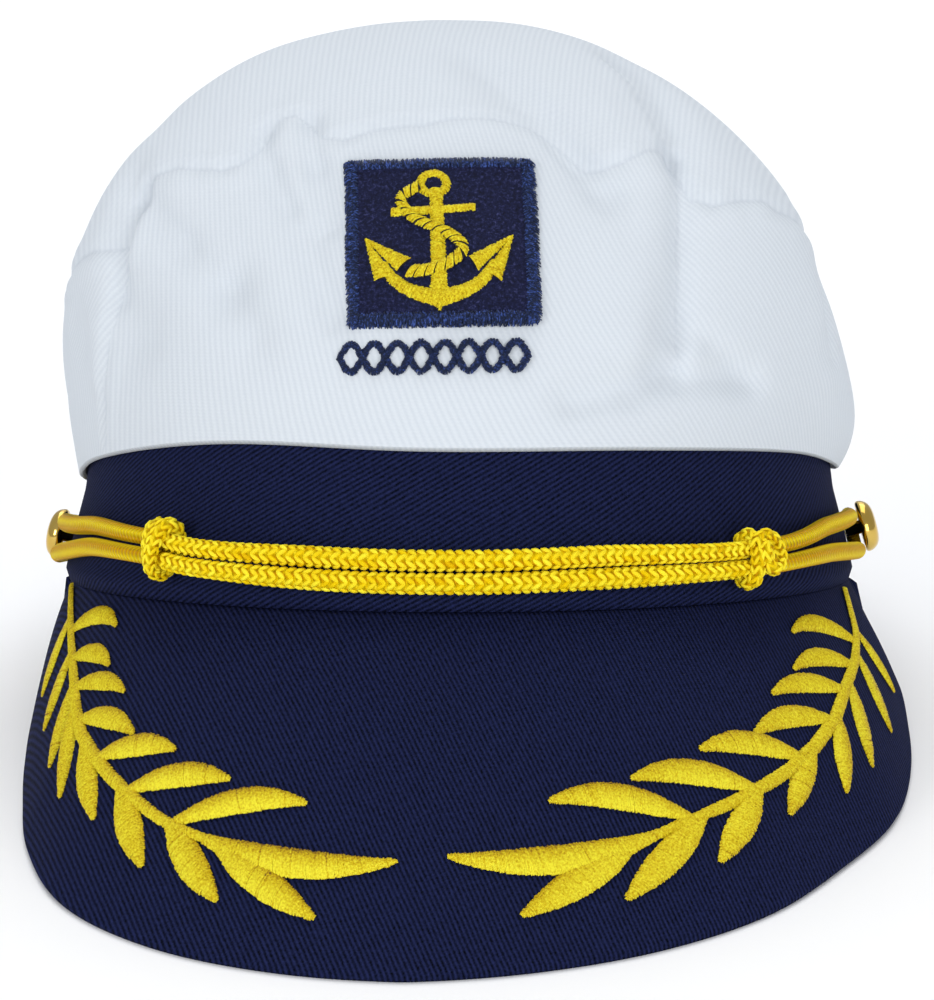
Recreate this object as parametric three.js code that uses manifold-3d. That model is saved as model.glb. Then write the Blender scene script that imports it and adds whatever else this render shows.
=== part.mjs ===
import * as THREE from 'three';
import Module from 'manifold-3d';

// Soft peaked captain hat, in millimetres.
// It is built in the head band's frame: X to the wearer's left, Y to the back, Z up,
// with the centre of the band's lower rim at zero. It is then tilted to the way it rests.

// Head band
const bandHalfWidth = 88;
const bandHalfLength = 98;
const bandHeight = 36;
const bandWall = 2.4;
const bandFrontLift = 1.6;
const bandTaper = 6;

// Crown
const crownHeight = 123.3;
const crownWall = 1.5;
const crownSeat = 0.4;
const apexSide = -0.055;
const apexForward = -0.092;
const seamShare = 0.6;
const topRise = 0.55;
const topLean = 0.19;
const topFlat = 0.45;
const shoulderDrop = 0.28;
const foldDepth = 3;
const foldWidth = 10;

// Peak
const peakReach = 46;
const peakThickness = 2.8;
const peakTuck = 1;
const peakBulge = 1.5;
const peakEndAngle = 87;
const cornerShare = 0.75;

// How the hat rests
const restTiltDegrees = 13.5;
const restBackShare = 0.982;
const landDepth = 0.6;

// Clearance between pieces that are sewn or laid together
const gap = 0.35;

// Embroidery
const leafWidth = 5.4;
const leafHeight = 1;
const stemWidth = 2.7;
const bendSpanDegrees = 28;
const crossShare = 0.55;
const stemRootShare = 0.6;
const badgeWidth = 37;
const badgeHeight = 37;
const frontTurnDegrees = 1;
const patchThickness = 0.8;
const borderRise = 0.6;
const borderShare = 0.88;
const borderStep = 0.03;
const anchorHeight = 0.9;
const ropeHeight = 1.2;
const braidWidth = 37.5;
const braidHeight = 7;
const braidThread = 1.3;
const braidRise = 0.8;
const braidWaves = 4;

// Chin cord, its knots and buttons
const cordRadius = 1.95;
const cordSpacing = 4.25;
const spreadDegrees = 38.4;
const loopRadius = 3.8;
const loopCordShare = 0.78;
const loopBlendDegrees = 10;
const buttonAzimuth = 88;
const buttonRadius = 5.8;
const buttonRim = 2;
const buttonDome = 1.6;
const shankRadius = 1.5;
const knotThickness = 1.9;
const knotReachDegrees = 22;
const knotBore = 0.5;
const knotClearance = 0.55;
const knotRampShare = 0.8;
const knotSqueezeShare = 0.86;
const knotValleyShare = 0.6;
const knotSwellShare = 0.8;
const knotSquareness = 0.6;

// Mesh fineness
const columns = 56;
const sideRows = 10;
const topRows = 7;
const lastTopShare = 0.965;
const peakColumns = 28;
const peakRows = 5;
const cordSides = 6;
const cordStations = 31;
const loopStations = 7;
const knotStations = 12;
const lathePoints = 16;
const flatEdge = 9;
const waveStations = 5;

// How far the band's face leans in, as a share of its taper, by share of its height
const bandProfile = [
  { at: 0, inset: 0.1 },
  { at: 0.07, inset: 0 },
  { at: 0.22, inset: 0.17 },
  { at: 0.56, inset: 0.7 },
  { at: 0.9, inset: 0.95 },
  { at: 1, inset: 1.3 },
];

// Crown sections by azimuth, zero at the front and positive to the +X side.
// hem is a share of the band's height, belly and shoulder of its half-width,
// bellyAt of the height from hem to seam, seamRadius of the band's own radius,
// seamHeight of the crown's height.
const crownSections = [
  { at: -180, hem: 0.722, belly: 0.13, bellyAt: 0.4, shoulder: 0.131, seamRadius: 0.838, seamHeight: 0.665 },
  { at: -135, hem: 0.694, belly: 0.105, bellyAt: 0.4, shoulder: 0.165, seamRadius: 0.848, seamHeight: 0.651 },
  { at: -90, hem: 0.597, belly: 0.06, bellyAt: 0.4, shoulder: 0.179, seamRadius: 0.853, seamHeight: 0.608 },
  { at: -60, hem: 0.792, belly: 0.023, bellyAt: 0.45, shoulder: 0.108, seamRadius: 0.885, seamHeight: 0.691 },
  { at: -30, hem: 0.917, belly: -0.032, bellyAt: 0.5, shoulder: 0.113, seamRadius: 0.715, seamHeight: 0.743 },
  { at: 0, hem: 0.894, belly: -0.056, bellyAt: 0.5, shoulder: 0.119, seamRadius: 0.613, seamHeight: 0.799 },
  { at: 30, hem: 0.889, belly: -0.028, bellyAt: 0.5, shoulder: 0.114, seamRadius: 0.72, seamHeight: 0.736 },
  { at: 60, hem: 0.833, belly: 0.063, bellyAt: 0.45, shoulder: 0.099, seamRadius: 0.901, seamHeight: 0.69 },
  { at: 90, hem: 0.681, belly: 0.143, bellyAt: 0.4, shoulder: 0.03, seamRadius: 0.803, seamHeight: 0.585 },
  { at: 135, hem: 0.694, belly: 0.144, bellyAt: 0.4, shoulder: 0.09, seamRadius: 0.819, seamHeight: 0.653 },
];

// Folds of the crown: where each runs, by azimuth and share of the way from hem to top,
// with its width and depth as shares of foldWidth and foldDepth. A negative depth is a valley.
const crownFolds = [
  { from: [43.5, 0.59], to: [35, 0.133], width: 0.45, depth: -0.9 },
  { from: [37.5, 0.57], to: [28, 0.19], width: 0.9, depth: 0.6 },
  { from: [-33, 0.625], to: [-13.5, 0.18], width: 0.45, depth: -0.55 },
  { from: [-51.5, 0.547], to: [-31.5, 0.263], width: 0.6, depth: -0.7 },
  { from: [-31.5, 0.263], to: [-25, 0.147], width: 0.6, depth: -0.4 },
  { from: [-55.5, 0.6], to: [-53, 0.305], width: 0.5, depth: -0.75 },
  { from: [-48.8, 0.24], to: [-48.8, 0.2], width: 0.9, depth: -0.6 },
  { from: [-24.2, 0.63], to: [-16.5, 0.362], width: 0.4, depth: -0.5 },
  { from: [16, 0.74], to: [31.2, 0.522], width: 0.7, depth: -0.8 },
  { from: [56, 0.795], to: [45, 0.62], width: 0.5, depth: -0.7 },
  { from: [19, 0.058], to: [31.5, 0.105], width: 0.4, depth: -0.4 },
  { from: [31.5, 0.105], to: [48.2, 0.107], width: 0.4, depth: -0.4 },
  { from: [36, 0.188], to: [45.5, 0.135], width: 0.5, depth: -0.45 },
  { from: [67.5, 0.372], to: [64.2, 0.203], width: 0.35, depth: -0.3 },
  { from: [100, 0.5], to: [112, 0.16], width: 1.1, depth: -0.8 },
  { from: [150, 0.62], to: [163, 0.22], width: 1.2, depth: -0.9 },
  { from: [-118, 0.56], to: [-104, 0.2], width: 1.1, depth: -0.8 },
  { from: [-160, 0.6], to: [-150, 0.2], width: 1.2, depth: -0.8 },
  { from: [120, 0.8], to: [155, 0.62], width: 1, depth: -0.6 },
];

// Peak edge by azimuth on either side: reach as a share of peakReach,
// lift as the share of the way down to the resting plane
const peakEdge = [
  { at: 0, left: 1.01, right: 1.01, lift: 1 },
  { at: 10, left: 1, right: 0.965, lift: 1 },
  { at: 20, left: 0.962, right: 0.913, lift: 1 },
  { at: 30, left: 0.856, right: 0.833, lift: 1 },
  { at: 40, left: 0.641, right: 0.704, lift: 1 },
  { at: 50, left: 0.425, right: 0.606, lift: 1 },
  { at: 60, left: 0.278, right: 0.469, lift: 1 },
  { at: 70, left: 0.18, right: 0.337, lift: 0.93 },
  { at: 76, left: 0.123, right: 0.255, lift: 0.77 },
  { at: 80, left: 0.086, right: 0.172, lift: 0.65 },
  { at: 84, left: 0.058, right: 0.088, lift: 0.46 },
  { at: 87, left: 0.046, right: 0.03, lift: 0.12 },
];

// Laurel sprays in peak coordinates: azimuth, and share of the way from the seam to the edge
const laurels = {
  laurel_left: {
    stem: [
      [-68.2, 0.03], [-55.8, 0.27], [-48.5, 0.405], [-43.8, 0.49], [-39, 0.56],
      [-33.2, 0.6], [-28, 0.64], [-22.2, 0.69], [-16.5, 0.715],
    ],
    leaves: [
      { base: [-56.8, 0.21], tip: [-44.5, 0.14], width: 0.75, bend: 0.16 },
      { base: [-51.2, 0.32], tip: [-41, 0.295], width: 0.75, bend: 0.12 },
      { base: [-46.2, 0.425], tip: [-35.2, 0.36], width: 0.75, bend: 0.1 },
      { base: [-41, 0.515], tip: [-30.2, 0.475], width: 0.85, bend: 0.1 },
      { base: [-34, 0.595], tip: [-24, 0.485], width: 0.95, bend: 0.1 },
      { base: [-27.5, 0.645], tip: [-17, 0.54], width: 1, bend: 0.1 },
      { base: [-21.2, 0.675], tip: [-9.2, 0.58], width: 1, bend: 0.1 },
      { base: [-17.8, 0.71], tip: [-0.9, 0.72], width: 1.05, bend: -0.045 },
      { base: [-60.8, 0.17], tip: [-59.2, 0.62], width: 0.6, bend: 0 },
      { base: [-53.5, 0.31], tip: [-51, 0.69], width: 0.6, bend: 0 },
      { base: [-47.5, 0.42], tip: [-43, 0.74], width: 0.7, bend: 0 },
      { base: [-44.2, 0.48], tip: [-37.2, 0.775], width: 0.75, bend: 0 },
      { base: [-38, 0.565], tip: [-30, 0.755], width: 0.9, bend: 0 },
      { base: [-28.8, 0.65], tip: [-22.5, 0.825], width: 1, bend: 0 },
      { base: [-21.5, 0.7], tip: [-14.8, 0.865], width: 1.05, bend: 0 },
      { base: [-16.5, 0.725], tip: [-6.8, 0.875], width: 1.1, bend: 0 },
    ],
  },
  laurel_right: {
    stem: [
      [73.5, 0.05], [66.2, 0.295], [60.5, 0.39], [53.5, 0.465], [48.8, 0.54],
      [43.2, 0.605], [37.8, 0.645], [30.5, 0.67], [25.2, 0.69], [18.8, 0.725],
    ],
    leaves: [
      { base: [63.5, 0.28], tip: [49.8, 0.17], width: 0.75, bend: 0.16 },
      { base: [58.8, 0.375], tip: [46, 0.315], width: 0.75, bend: 0.12 },
      { base: [52.8, 0.44], tip: [40.5, 0.38], width: 0.8, bend: 0.1 },
      { base: [47.5, 0.52], tip: [35.2, 0.495], width: 0.85, bend: 0.1 },
      { base: [40.2, 0.615], tip: [28, 0.495], width: 0.95, bend: 0.1 },
      { base: [32.5, 0.65], tip: [20, 0.545], width: 1, bend: 0.1 },
      { base: [24.8, 0.68], tip: [12, 0.58], width: 1, bend: 0.1 },
      { base: [21.2, 0.72], tip: [3.2, 0.71], width: 1.05, bend: -0.045 },
      { base: [66.8, 0.3], tip: [69.5, 0.74], width: 0.6, bend: 0 },
      { base: [62.2, 0.385], tip: [60.2, 0.77], width: 0.65, bend: 0 },
      { base: [55.5, 0.46], tip: [50.8, 0.785], width: 0.75, bend: 0 },
      { base: [49.2, 0.55], tip: [44.5, 0.805], width: 0.85, bend: 0 },
      { base: [42.8, 0.625], tip: [35.5, 0.775], width: 0.9, bend: 0 },
      { base: [33.2, 0.67], tip: [26.2, 0.83], width: 1, bend: 0 },
      { base: [26.2, 0.69], tip: [17.2, 0.87], width: 1.05, bend: 0 },
      { base: [18.8, 0.71], tip: [8.8, 0.875], width: 1.1, bend: 0 },
    ],
  },
};
const leafOutline = [
  { at: 0, width: 0.3 },
  { at: 0.28, width: 0.85 },
  { at: 0.55, width: 1 },
  { at: 0.8, width: 0.66 },
  { at: 1, width: 0.07 },
];

// Fouled anchor in badge coordinates, one at the patch's edge on each side.
// widths are shares of the badge's half-width.
const anchorStrokes = [
  { path: [[-0.04, 0.58], [-0.035, 0], [-0.03, -0.72]], widths: [0.13, 0.15, 0.17], stations: 7 },
  { path: [[-0.51, 0.3], [-0.06, 0.32], [0.36, 0.35]], widths: [0.11, 0.1, 0.09], stations: 5 },
  {
    path: [
      [-0.62, -0.33], [-0.51, -0.5], [-0.32, -0.64], [-0.03, -0.73],
      [0.255, -0.64], [0.44, -0.5], [0.55, -0.33],
    ],
    widths: [0.1, 0.13, 0.15, 0.17, 0.15, 0.13, 0.1],
    stations: 10,
  },
  { path: [[-0.5, -0.42], [-0.79, -0.03]], widths: [0.46, 0.02], stations: 3 },
  { path: [[0.43, -0.42], [0.74, -0.02]], widths: [0.44, 0.02], stations: 3 },
];
const anchorRope = {
  path: [
    [-0.23, 0.62], [-0.38, 0.5], [-0.39, 0.37], [-0.26, 0.2], [0, 0.06], [0.17, -0.07], [0.21, -0.2],
    [0.12, -0.3], [0, -0.37], [-0.18, -0.42], [-0.33, -0.43],
  ],
  widths: [0.12, 0.13],
  stations: 18,
};
const anchorRing = { centre: [-0.064, 0.66], radius: 0.138, width: 0.09, stations: 10 };

// Places on the crown's front, by azimuth and share from hem to top
const badgePlace = { azimuth: 2.3, share: 0.315 };
const braidPlace = { azimuth: 0.9, share: 0.1145 };

// Height of the chin cord's middle above the band's rim, as a share of the band's height, by azimuth
const cordHeights = [
  { at: -88, height: 0.222 },
  { at: -64, height: 0.305 },
  { at: -53, height: 0.345 },
  { at: -38, height: 0.333 },
  { at: -30, height: 0.294 },
  { at: -12, height: 0.257 },
  { at: 6, height: 0.248 },
  { at: 22, height: 0.262 },
  { at: 43, height: 0.274 },
  { at: 56, height: 0.3 },
  { at: 66, height: 0.315 },
  { at: 88, height: 0.29 },
];

// Slide knots: place, width along the cord, how far the middle swells, and number of turns
const knots = {
  cord_knot_left: { azimuth: -35, width: 7, swell: 0, turns: 2 },
  cord_knot_right: { azimuth: 43.6, width: 9.4, swell: 1, turns: 3 },
};

const wasm = await Module();
wasm.setup();

const restTilt = THREE.MathUtils.degToRad(restTiltDegrees);
const restLength = bandHalfLength * restBackShare;
const frontTurn = THREE.MathUtils.degToRad(frontTurnDegrees);
const up = new THREE.Vector3(0, 0, 1);

// Smooth value of one column of a table at a place between its rows.
// turn is set for a table that goes round.
function smooth(rows, key, place, turn = 0) {
  const count = rows.length;
  const first = rows[0].at;
  const at = turn
    ? first + THREE.MathUtils.euclideanModulo(place - first, turn)
    : THREE.MathUtils.clamp(place, first, rows[count - 1].at);
  const row = (i) => {
    const kept = turn ? (i + count) % count : THREE.MathUtils.clamp(i, 0, count - 1);
    const turns = turn ? Math.floor(i / count) : 0;
    return { at: rows[kept].at + turn * turns, value: rows[kept][key] };
  };
  let k = turn ? count - 1 : count - 2;
  while (k > 0 && row(k).at > at) k -= 1;
  const slope = (i) => {
    const low = row(i - 1);
    const high = row(i + 1);
    return (high.value - low.value) / (high.at - low.at);
  };
  const start = row(k);
  const end = row(k + 1);
  const span = end.at - start.at;
  const t = (at - start.at) / span;
  const rise = 3 * t * t - 2 * t * t * t;
  const startPull = t * t * t - 2 * t * t + t;
  const endPull = t * t * t - t * t;
  return start.value * (1 - rise) + end.value * rise + span * (slope(k) * startPull + slope(k + 1) * endPull);
}

// Straight value of one column of a table
function ramp(rows, key, place) {
  let k = rows.length - 2;
  while (k > 0 && rows[k].at > place) k -= 1;
  const t = THREE.MathUtils.clamp((place - rows[k].at) / (rows[k + 1].at - rows[k].at), 0, 1);
  return THREE.MathUtils.lerp(rows[k][key], rows[k + 1][key], t);
}

// Point of the band's plan outline, moved outwards square to it, at a height
function ringPoint(azimuth, out, height) {
  const turn = THREE.MathUtils.degToRad(azimuth);
  const square = new THREE.Vector2(Math.sin(turn) / bandHalfWidth, -Math.cos(turn) / bandHalfLength);
  square.normalize();
  return new THREE.Vector3(
    bandHalfWidth * Math.sin(turn) + square.x * out,
    -bandHalfLength * Math.cos(turn) + square.y * out,
    height,
  );
}

// Height of the band's lower rim, which rises a little at the front
function rimHeight(azimuth) {
  return bandFrontLift * (1 + Math.cos(THREE.MathUtils.degToRad(azimuth))) / 2;
}

// Point of the band's outer face
function bandPoint(azimuth, share, out) {
  const inset = ramp(bandProfile, 'inset', share) * bandTaper;
  return ringPoint(azimuth, out - inset, rimHeight(azimuth) * (1 - share) + share * bandHeight);
}

function bezier(a, b, c, d, t) {
  const s = 1 - t;
  return a * s * s * s + 3 * b * s * s * t + 3 * c * s * t * t + d * t * t * t;
}

// Crown's smooth form: the side rises from the hem to the seam, the top closes from there to the apex
function crownForm(azimuth, share) {
  const section = {};
  for (const key of ['hem', 'belly', 'bellyAt', 'shoulder', 'seamRadius', 'seamHeight']) {
    section[key] = smooth(crownSections, key, azimuth, 360);
  }
  const plan = ringPoint(azimuth, 0, 0);
  const radius = Math.hypot(plan.x, plan.y);
  const hem = section.hem * bandHeight;
  const seam = section.seamHeight * crownHeight;
  const seamOut = section.seamRadius * radius;
  const inset = ramp(bandProfile, 'inset', section.hem) * bandTaper;
  const hemOut = radius - inset + crownSeat + crownWall;
  let out;
  let height;
  if (share < seamShare) {
    const t = share / seamShare;
    const bellyOut = hemOut + section.belly * bandHalfWidth;
    const shoulderOut = seamOut + section.shoulder * bandHalfWidth;
    out = bezier(hemOut, bellyOut, shoulderOut, seamOut, t);
    height = bezier(hem, hem + (seam - hem) * section.bellyAt, seam - (seam - hem) * shoulderDrop, seam, t);
  } else {
    const t = (share - seamShare) / (1 - seamShare);
    out = bezier(seamOut, seamOut * (1 - topLean), seamOut * topFlat, 0, t);
    height = bezier(seam, seam + (crownHeight - seam) * topRise, crownHeight, crownHeight, t);
  }
  const drift = ((height - hem) / (crownHeight - hem)) ** 2;
  return new THREE.Vector3(
    plan.x / radius * out + apexSide * bandHalfWidth * drift,
    plan.y / radius * out + apexForward * bandHalfLength * drift,
    height,
  );
}

// Line of points that each fold follows over the crown
const foldSteps = 5;
const foldLines = crownFolds.map((fold) => {
  const points = [];
  for (let i = 0; i <= foldSteps; i += 1) {
    const t = i / foldSteps;
    points.push(crownForm(
      THREE.MathUtils.lerp(fold.from[0], fold.to[0], t),
      THREE.MathUtils.lerp(fold.from[1], fold.to[1], t),
    ));
  }
  return { points, width: fold.width * foldWidth, depth: fold.depth * foldDepth };
});

// How far the folds move the cloth at a point
function foldShift(point) {
  let shift = 0;
  for (const { points, width, depth } of foldLines) {
    let nearest = Infinity;
    for (let i = 0; i < foldSteps; i += 1) {
      const line = new THREE.Line3(points[i], points[i + 1]);
      const closest = line.closestPointToPoint(point, true, new THREE.Vector3());
      nearest = Math.min(nearest, closest.distanceTo(point));
    }
    shift += depth * Math.exp(-((nearest / width) ** 2));
  }
  return shift;
}

// Point of the crown's outer face, raised off it along the cloth's own normal
const probe = 0.02;
const holdShare = 0.05;
function crownPoint(azimuth, share, raise) {
  const point = crownForm(azimuth, share);
  const along = crownForm(azimuth + 1, share).sub(crownForm(azimuth - 1, share));
  const upward = crownForm(azimuth, share + probe).sub(crownForm(azimuth, Math.max(share - probe, 0)));
  const normal = along.cross(upward).normalize();
  const hold = THREE.MathUtils.smoothstep(share, 0, holdShare);
  return point.clone().addScaledVector(normal, foldShift(point) * hold + raise);
}

// Share reached by going up the crown's face by a distance
const climbSteps = 6;
function climb(azimuth, share, distance) {
  let reached = share;
  for (let i = 0; i < climbSteps; i += 1) {
    const rise = crownForm(azimuth, reached + probe).distanceTo(crownForm(azimuth, reached)) / probe;
    reached += distance / climbSteps / rise;
  }
  return reached;
}

// Share at which the crown's form reaches a height
function shareAtHeight(azimuth, start, height) {
  let share = start;
  for (let i = 0; i < climbSteps; i += 1) {
    const from = crownForm(azimuth, share).z;
    share += (height - from) * probe / (crownForm(azimuth, share + probe).z - from);
  }
  return share;
}

// Point on the crown's front, by distances sideways and upwards from a place on it.
// What is laid on it is turned a little, and its rows stay level.
function frontPoint(place, side, rise, raise) {
  const share = climb(place.azimuth, place.share, rise);
  const middle = crownForm(place.azimuth, share);
  const azimuth = place.azimuth + side / crownForm(place.azimuth + 1, share).distanceTo(middle);
  const height = middle.z + side * Math.tan(frontTurn);
  return crownPoint(azimuth, shareAtHeight(azimuth, share, height), raise);
}

// Point of the peak's upper face, raised off it square to its slope
function peakPoint(azimuth, share, raise) {
  const away = Math.abs(azimuth);
  const reach = smooth(peakEdge, azimuth < 0 ? 'left' : 'right', away) * peakReach;
  const lift = smooth(peakEdge, 'lift', away);
  const restHeight = (out) => (ringPoint(azimuth, out, 0).y - restLength) * Math.tan(restTilt) * lift;
  const top = rimHeight(azimuth) - gap;
  const guess = Math.atan2(top - restHeight(reach) - cornerShare * peakThickness, reach + peakTuck);
  const corner = reach - Math.sin(guess) * peakThickness;
  const bottom = restHeight(corner) + Math.cos(guess) * peakThickness - landDepth;
  const slope = Math.atan2(top - bottom, reach + peakTuck);
  const length = (reach + peakTuck) / Math.cos(slope);
  const swell = peakBulge * Math.sin(Math.PI * share) * Math.min(length / peakReach, 1) + raise;
  return ringPoint(
    azimuth,
    share * (reach + peakTuck) - peakTuck + Math.sin(slope) * swell,
    top - share * (top - bottom) + Math.cos(slope) * swell,
  );
}

// Geometry from points and triangles, turned so that its faces look outwards
function solid(points, faces) {
  let volume = 0;
  for (const [a, b, c] of faces) {
    volume += points[a].dot(points[b].clone().cross(points[c]));
  }
  const geometry = new THREE.BufferGeometry();
  const turned = volume < 0 ? faces.map(([a, b, c]) => [a, c, b]) : faces;
  const places = points.flatMap((point) => point.toArray());
  geometry.setAttribute('position', new THREE.Float32BufferAttribute(places, 3));
  geometry.setIndex(turned.flat());
  return geometry;
}

// Closed skin between an outer and an inner grid of points. A round one closes on itself
// column by column, and one with poles closes over its last row.
function skin(outer, inner, round, poles) {
  const rows = outer.length;
  const width = outer[0].length;
  const points = [...outer.flat(), ...inner.flat()];
  const inside = rows * width;
  const id = (row, column) => row * width + column % width;
  const faces = [];
  const quad = (a, b, c, d) => faces.push([a, b, c], [a, c, d]);
  const spans = round ? width : width - 1;
  for (let column = 0; column < spans; column += 1) {
    for (let row = 0; row < rows - 1; row += 1) {
      const [a, b] = [id(row, column), id(row, column + 1)];
      const [c, d] = [id(row + 1, column + 1), id(row + 1, column)];
      quad(a, b, c, d);
      quad(inside + d, inside + c, inside + b, inside + a);
    }
    quad(inside + id(0, column), inside + id(0, column + 1), id(0, column + 1), id(0, column));
    const [a, b] = [id(rows - 1, column), id(rows - 1, column + 1)];
    if (poles) {
      faces.push([a, b, inside * 2], [inside + b, inside + a, inside * 2 + 1]);
    } else {
      quad(a, b, inside + b, inside + a);
    }
  }
  if (!round) {
    for (let row = 0; row < rows - 1; row += 1) {
      const [a, b] = [id(row, 0), id(row + 1, 0)];
      const [c, d] = [id(row, width - 1), id(row + 1, width - 1)];
      quad(a, b, inside + b, inside + a);
      quad(inside + c, inside + d, d, c);
    }
  }
  return solid([...points, ...(poles ?? [])], faces);
}

// Closed tube through rings of points; a closed run joins its last ring to its first
function tube(rings, closed) {
  const count = rings.length;
  const sides = rings[0].length;
  const points = rings.flat();
  const faces = [];
  const spans = closed ? count : count - 1;
  for (let i = 0; i < spans; i += 1) {
    for (let j = 0; j < sides; j += 1) {
      const a = i * sides + j;
      const b = i * sides + (j + 1) % sides;
      const c = ((i + 1) % count) * sides + (j + 1) % sides;
      const d = ((i + 1) % count) * sides + j;
      faces.push([a, b, c], [a, c, d]);
    }
  }
  if (!closed) {
    for (let j = 1; j < sides - 1; j += 1) {
      const last = (count - 1) * sides;
      faces.push([0, j + 1, j], [last, last + j, last + j + 1]);
    }
  }
  return solid(points, faces);
}

function toManifold(geometry) {
  return new wasm.Manifold(new wasm.Mesh({
    numProp: 3,
    vertProperties: new Float32Array(geometry.attributes.position.array),
    triVerts: new Uint32Array(geometry.index.array),
  }));
}

function fromManifold(body) {
  const mesh = body.getMesh();
  const geometry = new THREE.BufferGeometry();
  geometry.setAttribute('position', new THREE.Float32BufferAttribute(mesh.vertProperties, mesh.numProp));
  geometry.setIndex([...mesh.triVerts]);
  return geometry;
}

function join(geometries) {
  return fromManifold(wasm.Manifold.union(geometries.map(toManifold)));
}

// Joins flat pieces and splits their long edges, so that they can follow a curved face
function joinFlat(geometries) {
  return fromManifold(wasm.Manifold.union(geometries.map(toManifold)).refineToLength(flatEdge));
}

// Cuts away what would lie below the resting plane
function cutAtRest(geometry) {
  const facing = [0, -Math.sin(restTilt), Math.cos(restTilt)];
  return fromManifold(toManifold(geometry).trimByPlane(facing, -restLength * Math.sin(restTilt)));
}

// Raised satin stroke across a run of stations, each with its centre, normal and half-width
function satin(stations, height, closed) {
  const last = stations.length - 1;
  const rings = stations.map(({ centre, normal, half }, i) => {
    const before = stations[closed ? (i + last) % (last + 1) : Math.max(i - 1, 0)].centre;
    const after = stations[closed ? (i + 1) % (last + 1) : Math.min(i + 1, last)].centre;
    const side = after.clone().sub(before).cross(normal).normalize();
    return [[-1, 0], [-crossShare, height], [crossShare, height], [1, 0]].map(([across, rise]) => (
      centre.clone().addScaledVector(side, across * half).addScaledVector(normal, rise)
    ));
  });
  return tube(rings, closed);
}

function makeCrown() {
  const shares = [];
  for (let i = 0; i < sideRows; i += 1) {
    shares.push(seamShare * i / sideRows);
  }
  for (let i = 0; i < topRows; i += 1) {
    shares.push(THREE.MathUtils.lerp(seamShare, lastTopShare, i / (topRows - 1)));
  }
  const grid = (raise) => shares.map((share) => (
    Array.from({ length: columns }, (_, i) => crownPoint(360 * i / columns, share, raise))
  ));
  const apex = crownForm(0, 1);
  return skin(grid(0), grid(-crownWall), true, [apex, apex.clone().addScaledVector(up, -crownWall)]);
}

function makeBand() {
  const grid = (out) => bandProfile.map(({ at }) => (
    Array.from({ length: columns }, (_, i) => bandPoint(360 * i / columns, at, out))
  ));
  return cutAtRest(skin(grid(0), grid(-bandWall), true));
}

function makePeak() {
  const grid = (raise) => Array.from({ length: peakRows + 1 }, (_, row) => (
    Array.from({ length: peakColumns + 1 }, (__, i) => (
      peakPoint(THREE.MathUtils.lerp(-peakEndAngle, peakEndAngle, i / peakColumns), row / peakRows, raise)
    ))
  ));
  return cutAtRest(skin(grid(0), grid(-peakThickness), false));
}

// Station of a stroke that lies on the peak
function peakStation([azimuth, share], half) {
  const centre = peakPoint(azimuth, share, gap);
  const normal = peakPoint(azimuth, share, gap + 1).sub(centre).normalize();
  return { centre, normal, half };
}

// Place on the stem that is nearest to where a leaf begins
function rootOnStem(stem, base) {
  const steps = 8;
  const target = peakPoint(base[0], base[1], gap);
  let root = base;
  let nearest = Infinity;
  for (let i = 0; i < (stem.length - 1) * steps; i += 1) {
    const [low, high] = [stem[Math.floor(i / steps)], stem[Math.floor(i / steps) + 1]];
    const place = [0, 1].map((axis) => THREE.MathUtils.lerp(low[axis], high[axis], (i % steps) / steps));
    const away = peakPoint(place[0], place[1], gap).distanceTo(target);
    if (away < nearest) [root, nearest] = [place, away];
  }
  return root;
}

function makeLaurel({ stem, leaves }) {
  const last = stem.length - 1;
  const stemStations = stem.map((place, i) => (
    peakStation(place, stemWidth / 2 * THREE.MathUtils.lerp(stemRootShare, 1, Math.sin(Math.PI * i / last)))
  ));
  const pieces = [satin(stemStations, leafHeight, false)];
  for (const { base, tip, width, bend } of leaves) {
    const root = rootOnStem(stem, base);
    const run = [tip[0] - root[0], tip[1] - root[1]];
    const stations = leafOutline.map(({ at, width: share }) => {
      const bow = bend * 4 * at * (1 - at);
      const place = [root[0] + run[0] * at, root[1] + run[1] * at - bow * Math.abs(run[0]) / bendSpanDegrees];
      return peakStation(place, leafWidth / 2 * width * share);
    });
    pieces.push(satin(stations, leafHeight, false));
  }
  return join(pieces);
}

function makeBadgePatch() {
  const inner = borderShare - borderStep;
  const shares = [-1, -borderShare, -inner, -inner / 2, 0, inner / 2, inner, borderShare, 1];
  const grid = (face) => shares.map((v) => shares.map((u) => {
    const onBorder = Math.max(Math.abs(u), Math.abs(v)) > inner + borderStep / 2;
    const raise = face ? gap + patchThickness + (onBorder ? borderRise : 0) : gap;
    return frontPoint(badgePlace, u * badgeWidth / 2, v * badgeHeight / 2, raise);
  }));
  return skin(grid(true), grid(false), false);
}

// Flat stroke in badge or braid coordinates, along a smooth line through its points
function flatStroke(points, widths, stations, height) {
  const curve = new THREE.CatmullRomCurve3(points.map(([u, v]) => new THREE.Vector3(u, v, 0)));
  const last = widths.length - 1;
  const run = Array.from({ length: stations }, (_, i) => {
    const t = i / (stations - 1);
    const k = Math.min(Math.floor(t * last), last - 1);
    const width = THREE.MathUtils.lerp(widths[k], widths[k + 1], t * last - k);
    return { centre: curve.getPoint(t), normal: up, half: width / 2 };
  });
  return satin(run, height, false);
}

// Lays a flat body on the crown's front, where its sideways and upwards distances become the cloth's own
function layOnFront(geometry, place, lift) {
  const position = geometry.attributes.position;
  for (let i = 0; i < position.count; i += 1) {
    const laid = frontPoint(place, position.getX(i), position.getY(i), position.getZ(i) + lift);
    position.setXYZ(i, laid.x, laid.y, laid.z);
  }
  return geometry;
}

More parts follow.
